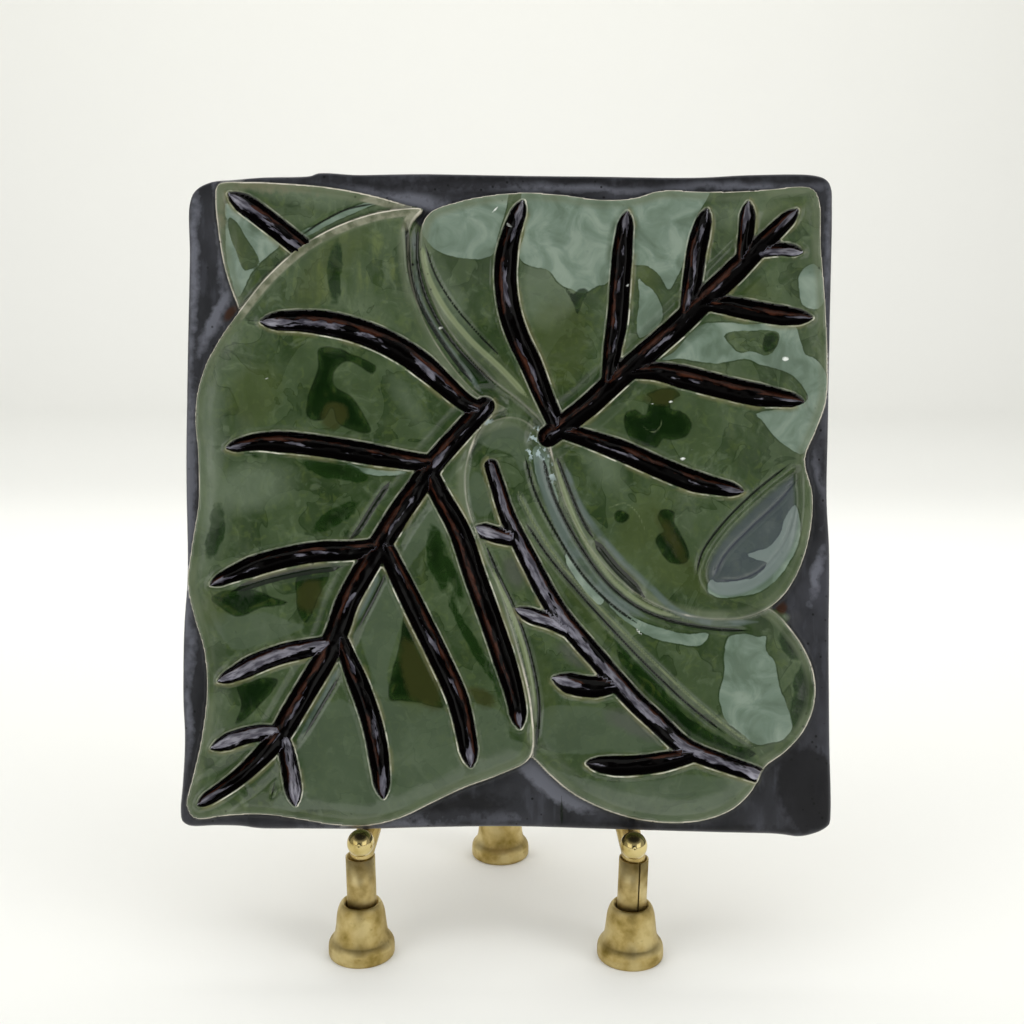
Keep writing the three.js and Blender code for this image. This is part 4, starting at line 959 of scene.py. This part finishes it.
def glazed_stoneware():
    """Stoneware under a thick gloss glaze: green pools on the leaves, slate on the ground, iron black in the veins.
    The glaze runs thin on every edge, where the pale clay shows, and pools dark in every hollow."""
    material = bpy.data.materials.new("Glazed stoneware")
    material.use_nodes = True
    tree = material.node_tree
    shader = tree.nodes["Principled BSDF"]
    place = add(tree, "ShaderNodeTexCoord").outputs["Object"]

    def field(name):
        return add(tree, "ShaderNodeAttribute", attribute_name=name).outputs["Fac"]

    def noise(size_mm, detail=4, vector=place, distortion=0.0):
        return add(tree, "ShaderNodeTexNoise", {
            "Vector": vector, "Scale": 1 / (size_mm * MM), "Detail": detail, "Distortion": distortion}).outputs["Fac"]

    def stretched(across_scale, up_scale):
        return add(tree, "ShaderNodeMapping", {"Vector": place, "Scale": (across_scale, 1, up_scale)}).outputs[0]

    def between(value, low, high, start=0.0, end=1.0):
        return add(tree, "ShaderNodeMapRange", {
            "Value": value, "From Min": low, "From Max": high, "To Min": start, "To Max": end}).outputs[0]

    def arithmetic(operation, first, second=0.0):
        return add(tree, "ShaderNodeMath", {0: first, 1: second}, operation=operation).outputs[0]

    def mix(share, first, second):
        second = colour(second) if isinstance(second, str) else second
        return add(tree, "ShaderNodeMix", {0: share, 6: first, 7: second}, data_type="RGBA").outputs[2]

    def times(*factors):
        result = factors[0]
        for factor in factors[1:]:
            result = arithmetic("MULTIPLY", result, factor)
        return result

    def ruled(distance, half, soft=0.12):
        """A line where the distance is within half of nought."""
        gap = arithmetic("SUBTRACT", arithmetic("ABSOLUTE", distance), half)
        return between(gap, soft, -soft)

    fine = noise(1.6, 3)
    ragged = arithmetic("SUBTRACT", fine, 0.5)

    # The leaves
    green = ramp(tree, noise(15, 6, distortion=0.5), [
        (0.3, "#22321a"), (0.43, "#303f26"), (0.54, "#3a4930"), (0.66, "#47553c"), (0.76, "#55624c")])
    brush = noise(2.6, 4, stretched(1.0, 0.11))
    brushed = between(field("brushed"), -3, 3, 0.15, 1)
    green = mix(times(between(brush, 0.5, 0.64, 0, 0.75), brushed), green, "#26390f")
    green = mix(times(between(brush, 0.48, 0.34, 0, 0.55), brushed), green, "#66723e")
    cloud = noise(5, 5, distortion=1.5)
    green = mix(between(cloud, 0.55, 0.7, 0, 0.5), green, "#283a1c")
    green = mix(between(cloud, 0.45, 0.32, 0, 0.35), green, "#68765c")
    moss = noise(2.4, 5, distortion=1.2)
    green = mix(between(moss, 0.53, 0.68, 0, 0.35), green, "#52612f")
    green = mix(between(moss, 0.47, 0.34, 0, 0.4), green, "#2b3e1d")

    # The glaze ran into shallow pools with crisp edges, each a shade apart from the next
    shallow = noise(13, 3, distortion=0.7)
    green = mix(between(shallow, 0.5, 0.504, 0, 0.2), green, "#607052")
    green = mix(times(ruled(arithmetic("SUBTRACT", shallow, 0.501), 0.004, 0.004), 0.6), green, "#1f3017")

    def patch(base, name, tint, low, high, strength, rag=1.2):
        depth = arithmetic("ADD", field(name), times(ragged, rag))
        return mix(between(depth, low, high, 0, strength), base, tint)

    # Painted sheen: lighter patches, soft or crisp-edged, where the glaze reflects the room
    green = patch(green, "haze", "#66735f", -2, 2, 0.6)
    green = patch(green, "milky", "#505d4b", 0.0, 0.5, 0.6, 0.8)
    green = patch(green, "olive", "#47522a", -1.0, 1.8, 0.42, 2.4)
    # Painted reflections: pale grey-green patches with a thin dark rim, where the glaze would mirror the bright room
    reflection_edge = arithmetic("ADD", field("pale"), times(ragged, 0.5))
    green = mix(times(ruled(reflection_edge, 0.16), between(noise(6, 2), 0.4, 0.54, 0, 0.8)), green, "#26361f")
    reflection_tone = ramp(tree, noise(7, 5, distortion=1.0), [(0.34, "#5e6f60"), (0.5, "#708274"), (0.66, "#879789")])
    green = mix(between(reflection_edge, 0.1, 0.3, 0, 0.86), green, reflection_tone)
    depth = arithmetic("ADD", field("deep"), times(ragged, 0.9))
    green = mix(times(between(depth, -0.1, 0.3), between(cloud, 0.36, 0.5, 0.6, 0.95)), green, "#1a3010")
    green = mix(between(depth, 0.2, 2.2, 0, 0.8), green, "#0b1c06")
    pool = arithmetic("ADD", field("pool"), times(ragged, 0.35))
    green = mix(between(pool, 0.0, 0.16, 0, 0.9), green, ramp(tree, cloud, [(0.3, "#343f18"), (0.42, "#1b300f"), (0.6, "#0a1c06")]))
    green = mix(between(pool, 0.5, 1.6, 0, 0.8), green, "#0a1d06")
    green = patch(green, "amber", "#35381a", -0.6, 0.6, 0.75)
    # Painted grey reflections on the lower leaf
    green = patch(green, "mirror", "#50524d", -0.8, 0.8, 0.6)
    green = patch(green, "wiped", "#77705a", -0.8, 0.8, 0.6, 3)
    green = mix(times(ruled(pool, 0.1, 0.1), 0.6), green, "#0c1a08")
    green = mix(between(field("trough"), 0.15, 0.85, 0, 0.5), green, "#1d3015")

    # The slate ground, with the scraper's long marks
    slate = ramp(tree, noise(10, 5, stretched(1.0, 0.5)), [(0.34, "#202124"), (0.5, "#2c2d31"), (0.66, "#3c3d43")])
    marks = noise(2.4, 3, stretched(1.0, 0.1))
    slate = mix(between(marks, 0.56, 0.66, 0, 0.16), slate, "#5c5e68")
    leaf = field("leaf")
    bare = field("bare")
    leafy = arithmetic("MAXIMUM", between(leaf, -0.08, 0.08), between(bare, 0.6, 0.3))
    slate = patch(slate, "slate_light", "#64666f", -0.6, 0.6, 0.9, 2)
    slate = patch(slate, "slate_dark", "#171719", -1.2, 0.9, 0.85, 5)
    base = mix(leafy, slate, green)

    # Where the leaves were wiped at their margins, and a painted shadow on the ground just outside each leaf
    rim = field("rim")
    margin = times(between(rim, 2.9, 1.7), between(rim, 0.1, 0.4), between(noise(12, 2), 0.4, 0.6, 0.25, 0.7))
    base = mix(margin, base, "#67705a")
    # A painted grey reflection along the folds of height nought
    band = between(field("band"), 0.35, -0.35)
    base = mix(times(band, between(noise(5, 3), 0.36, 0.5, 0.45, 0.95)), base, "#58655f")
    base = mix(between(field("ridge"), 0.2, -0.2, 0, 0.7), base, "#808b68")
    base = mix(between(field("crease"), 0.12, -0.12, 0, 0.92), base, "#0c140b")
    tip = field("tip")
    base = mix(between(tip, 1.2, 2.4, 0, 0.65), base, "#4a505a")
    # On the folded tip the painted reflection is paler still
    base = mix(times(between(reflection_edge, 0.1, 0.3), between(tip, 0.4, 1.0, 0, 0.9)), base, "#727e7a")
    bevel = times(between(field("bevel"), -0.5, 0.5), between(rim, 2.3, 1.9), between(rim, 0.0, 0.3))
    base = mix(times(bevel, 0.8), base, ramp(tree, noise(1.5, 3, stretched(0.5, 0.5)), [(0.4, "#5c604c"), (0.6, "#8f8f7c")]))
    wear = between(noise(4, 3), 0.4, 0.52, 0.55, 1)
    edge_line = times(ruled(arithmetic("SUBTRACT", rim, 0.28), 0.2, 0.12), wear, between(bare, 0, 1, 0.12, 0.95))
    base = mix(edge_line, base, "#d2ccbc")
    # A painted shadow on the bare ground just outside each leaf's edge
    base = mix(times(between(field("foot"), 1.1, 0.15), bare, 0.6), base, "#191a1b")

    # The cuts: black walls, with a rusty brown and painted lilac glints on the side that faces the light, pale lips
    # with a painted highlight on one side, and a painted shadow beside them
    vein = field("vein")
    # The pale clay on the cuts' lips, where the glaze breaks, with a painted highlight that makes one side brighter
    lip_wear = between(noise(3.4, 3), 0.42, 0.56, 0.1, 1)
    lip_highlight_side = between(field("lateral"), 0.2, -0.2, 0.3, 1)
    lip = times(ruled(arithmetic("SUBTRACT", vein, 0.26), 0.13, 0.12), lip_wear, lip_highlight_side)
    base = mix(lip, base, "#d6d5c4")
    # A painted dark green shadow beside each cut
    beside = times(between(vein, 1.9, 0.7), between(noise(8, 3), 0.5, 0.62, 0, 0.6))
    base = mix(beside, base, "#2a3d20")
    tan = times(between(vein, 1.3, 0.4), between(noise(7, 3), 0.42, 0.54), between(field("lateral"), 0.2, -0.2, 0.1, 0.6))
    base = mix(tan, base, "#6f6e4b")
    along = add(tree, "ShaderNodeCombineXYZ", {0: times(field("course"), 0.1), 1: times(field("lateral"), 0.9)})
    blot = add(tree, "ShaderNodeTexNoise", {"Vector": along.outputs[0], "Scale": 1.0, "Detail": 4}).outputs["Fac"]
    finer = add(tree, "ShaderNodeCombineXYZ", {0: times(field("course"), 0.3), 1: times(field("lateral"), 2.2),
                                               2: 5.0})
    fleck = add(tree, "ShaderNodeTexNoise", {"Vector": finer.outputs[0], "Scale": 1.0, "Detail": 4}).outputs["Fac"]
    lateral = arithmetic("ADD", field("lateral"), times(arithmetic("SUBTRACT", fleck, 0.5), 0.8))
    brown = times(ruled(arithmetic("SUBTRACT", lateral, 0.42), 0.14, 0.1), between(blot, 0.43, 0.5))
    iron = mix(times(brown, 0.9), colour("#040303"), ramp(tree, fleck, [(0.38, "#1e0f0a"), (0.6, "#4e2c1f")]))
    # Painted glints: lilac and white streaks along each cut's floor, on the side that faces the light
    gloss = field("shine")
    shine = arithmetic("SUBTRACT", arithmetic("ADD", blot, times(gloss, 0.3)), 0.64)
    glint = times(ruled(arithmetic("ADD", lateral, 0.02), between(gloss, 0.2, 1, 0.08, 0.56), 0.06),
                  between(shine, 0.0, 0.03))
    painted_glint_colour = mix(between(gloss, 0.7, 1), ramp(tree, fleck, [(0.4, "#45434d"), (0.6, "#83828e")]),
                ramp(tree, fleck, [(0.42, "#6c6a75"), (0.6, "#b4b3be")]))
    iron = mix(times(glint, 0.9), iron, painted_glint_colour)
    base = mix(between(arithmetic("ADD", vein, times(ragged, 0.3)), 0.1, -0.06), base, iron)

    # The pits in the bare ground, rust stains, painted speckled glints and white highlights, and the slab's dark cut
    # edge
    pits = add(tree, "ShaderNodeTexVoronoi", {"Vector": place, "Scale": 1 / (2.6 * MM), "Randomness": 1.0})
    dotted = times(between(pits.outputs["Distance"], 0.15, 0.09), between(noise(14, 2), 0.44, 0.52),
                   between(leaf, 2.5, -0.5, 0.1, 1))
    base = mix(times(dotted, 0.9), base, "#0a0a0a")
    base = mix(between(arithmetic("ADD", field("rust"), ragged), -0.2, 0.5, 0, 0.85), base, "#38200f")
    # Painted bluish-white speckled glints where the veins meet
    frost = times(between(field("frost"), -0.3, 0.4), between(noise(1.4, 3), 0.5, 0.56))
    base = mix(times(frost, between(vein, 0.1, 0.4)), base, "#9fb0b0")
    # Painted white highlights, small specks on the glaze
    base = mix(between(arithmetic("ADD", field("glint"), times(ragged, 0.3)), 0.0, 0.2), base, "#e4e8e2")
    edge = between(field("edge"), 0.9, 0.2, 0, 0.5)
    base = mix(edge, base, "#55555a")
    base = mix(times(field("cheek"), 0.8), base, "#222125")
    tree.links.new(base, shader.inputs["Base Color"])
    # The leaves' glaze is glassy, and the slip on the ground is nearer to satin
    tree.links.new(between(leafy, 0, 1, 0.32, 0.08), shader.inputs["Roughness"])
    sheen = times(between(leafy, 0, 1, 0.25, 0.6), between(vein, -0.4, 0, 0.2, 1))
    tree.links.new(sheen, shader.inputs["Specular IOR Level"])
    swell = arithmetic("ADD", noise(6, 3), times(fine, 0.12))
    bump = add(tree, "ShaderNodeBump", {"Height": swell, "Strength": 0.5, "Distance": 0.2 * MM})
    tree.links.new(bump.outputs["Normal"], shader.inputs["Normal"])
    return material


def bare_clay():
    """Unglazed stoneware back: a dry, buff-grey fired clay with fine grog, wiped flat on a board."""
    material = bpy.data.materials.new("Bare stoneware")
    material.use_nodes = True
    tree = material.node_tree
    shader = tree.nodes["Principled BSDF"]
    place = add(tree, "ShaderNodeTexCoord").outputs["Object"]
    cloud = add(tree, "ShaderNodeTexNoise", {"Vector": place, "Scale": 1 / (12 * MM), "Detail": 6}).outputs["Fac"]
    grog = add(tree, "ShaderNodeTexNoise", {"Vector": place, "Scale": 1 / (0.6 * MM), "Detail": 2}).outputs["Fac"]
    tree.links.new(ramp(tree, cloud, [(0.35, "#958a7b"), (0.6, "#a59986")]), shader.inputs["Base Color"])
    shader.inputs["Roughness"].default_value = 0.85
    bump = add(tree, "ShaderNodeBump", {"Height": grog, "Strength": 0.5, "Distance": 0.15 * MM})
    tree.links.new(bump.outputs["Normal"], shader.inputs["Normal"])
    return material


tile.data.materials.append(glazed_stoneware())
tile.data.materials.append(bare_clay())
tile.data.polygons[back_face].material_index = 1
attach(tile, "root")
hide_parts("tile")

# The room
# A pale seamless floor that curves up far behind, soft light from above and from both sides, and the camera
# where the photograph was taken: a little above the tile, looking slightly down on it.
floor_depth = 1.6
sweep_radius = 0.5
floor_profile = [(-1.4, 0), (floor_depth - sweep_radius, 0)]
floor_profile += [(floor_depth - sweep_radius + sweep_radius * math.sin(a), sweep_radius * (1 - math.cos(a)))
                  for a in np.linspace(0.05, math.pi / 2, 24)]
floor_profile.append((floor_depth, 2.6))
floor_vertices = [(x, y, z) for y, z in floor_profile for x in (-2.4, 2.4)]
floor_faces = [(2 * i, 2 * i + 1, 2 * i + 3, 2 * i + 2) for i in range(len(floor_profile) - 1)]
floor = mesh_object("floor", floor_vertices, floor_faces)
paper = bpy.data.materials.new("White paper")
paper.use_nodes = True
paper.node_tree.nodes["Principled BSDF"].inputs["Base Color"].default_value = colour("#f1f1ec")
paper.node_tree.nodes["Principled BSDF"].inputs["Roughness"].default_value = 0.9
floor.data.materials.append(paper)


def area_light(name, place, aim, size, watts):
    light = bpy.data.lights.new(name, "AREA")
    light.shape = "RECTANGLE"
    light.size, light.size_y = size
    light.energy = watts
    lamp = bpy.data.objects.new(name, light)
    lamp.location = place
    lamp.rotation_euler = (Vector(aim) - Vector(place)).to_track_quat("-Z", "Y").to_euler()
    # The room's own bright and dark parts are what the glaze and the brass mirror
    lamp.visible_glossy = False
    lamp.visible_camera = False
    bpy.context.scene.collection.objects.link(lamp)


middle = (0, 0, 0.1)
area_light("Top light", (0, -0.1, 1.3), middle, (1.6, 1.4), 13.7)
area_light("Left light", (-1.0, -0.7, 0.7), middle, (0.7, 1.0), 3.6)
area_light("Right light", (1.1, -0.6, 0.6), middle, (0.6, 0.9), 5.2)
area_light("Low light behind the tile", (0, 0.45, 0.3), (0, 0, 0), (1.0, 0.3), 0.6)
area_light("Back wall light", (-0.35, 0.5, 1.4), (-0.45, 1.6, 0.6), (2.4, 0.6), 7.3)


def room_world():
    """A plain pale room: bright all round up to eye height, a grey ceiling, and a dark part where the viewer is."""
    world = bpy.data.worlds.new("Soft room")
    world.use_nodes = True
    tree = world.node_tree
    heading = add(tree, "ShaderNodeTexCoord").outputs["Generated"]
    parts = add(tree, "ShaderNodeSeparateXYZ", {"Vector": heading}).outputs

    def between(value, low, high, start=0.0, end=1.0):
        return add(tree, "ShaderNodeMapRange", {
            "Value": value, "From Min": low, "From Max": high, "To Min": start, "To Max": end}).outputs[0]

    def times(first, second):
        return add(tree, "ShaderNodeMath", {0: first, 1: second}, operation="MULTIPLY").outputs[0]

    walls = ramp(tree, between(parts["Z"], -0.2, 1.0), [
        (0.0, "#eceae6"), (0.4, "#f0efec"), (0.7, "#d0d1d0"), (0.82, "#53555a"), (1.0, "#3c3e42")])
    viewer = times(times(between(parts["X"], -0.26, -0.2), between(parts["X"], 0.2, 0.13)),
                   times(between(parts["Z"], -0.03, 0.03), between(parts["Z"], 0.42, 0.36)))
    viewer = times(viewer, between(parts["Y"], 0.0, -0.3))
    seen = add(tree, "ShaderNodeMix", {0: viewer, 6: walls, 7: colour("#2c2e2f")}, data_type="RGBA").outputs[2]
    # A window on either side of the viewer is what the glaze's raised edges catch
    aside = add(tree, "ShaderNodeMath", {0: parts["X"]}, operation="ABSOLUTE").outputs[0]
    window = times(times(between(aside, 0.34, 0.4), between(aside, 0.86, 0.8)),
                   times(between(parts["Z"], 0.02, 0.06), between(parts["Z"], 0.56, 0.5)))
    window = times(window, between(parts["Y"], 0.0, -0.2))
    background = tree.nodes["Background"]
    tree.links.new(seen, background.inputs["Color"])
    tree.links.new(between(window, 0, 1, 0.42, 1.5), background.inputs["Strength"])
    return world


bpy.context.scene.world = room_world()
bpy.context.scene.view_settings.view_transform = "Standard"

# The camera, from the feet's places in the photograph
camera_from_feet = (6.62, -293.12, 169.78)
camera_pitch = 11.2
camera_yaw = 0.6
camera_roll = 0.25
focal_pixels = 1290
frame_pixels = 1024
sensor = 36
camera_data = bpy.data.cameras.new("Camera")
camera_data.sensor_width = sensor
camera_data.lens = focal_pixels * sensor / frame_pixels
camera = bpy.data.objects.new("Camera", camera_data)
camera.location = Vector((feet["left"] + feet["right"]) / 2 + np.array(camera_from_feet)) * MM
turn = Euler((math.radians(90 - camera_pitch), 0, math.radians(camera_yaw))).to_matrix()
camera.rotation_euler = (turn @ Matrix.Rotation(math.radians(camera_roll), 3, "Z")).to_euler()
bpy.context.scene.collection.objects.link(camera)
bpy.context.scene.camera = camera
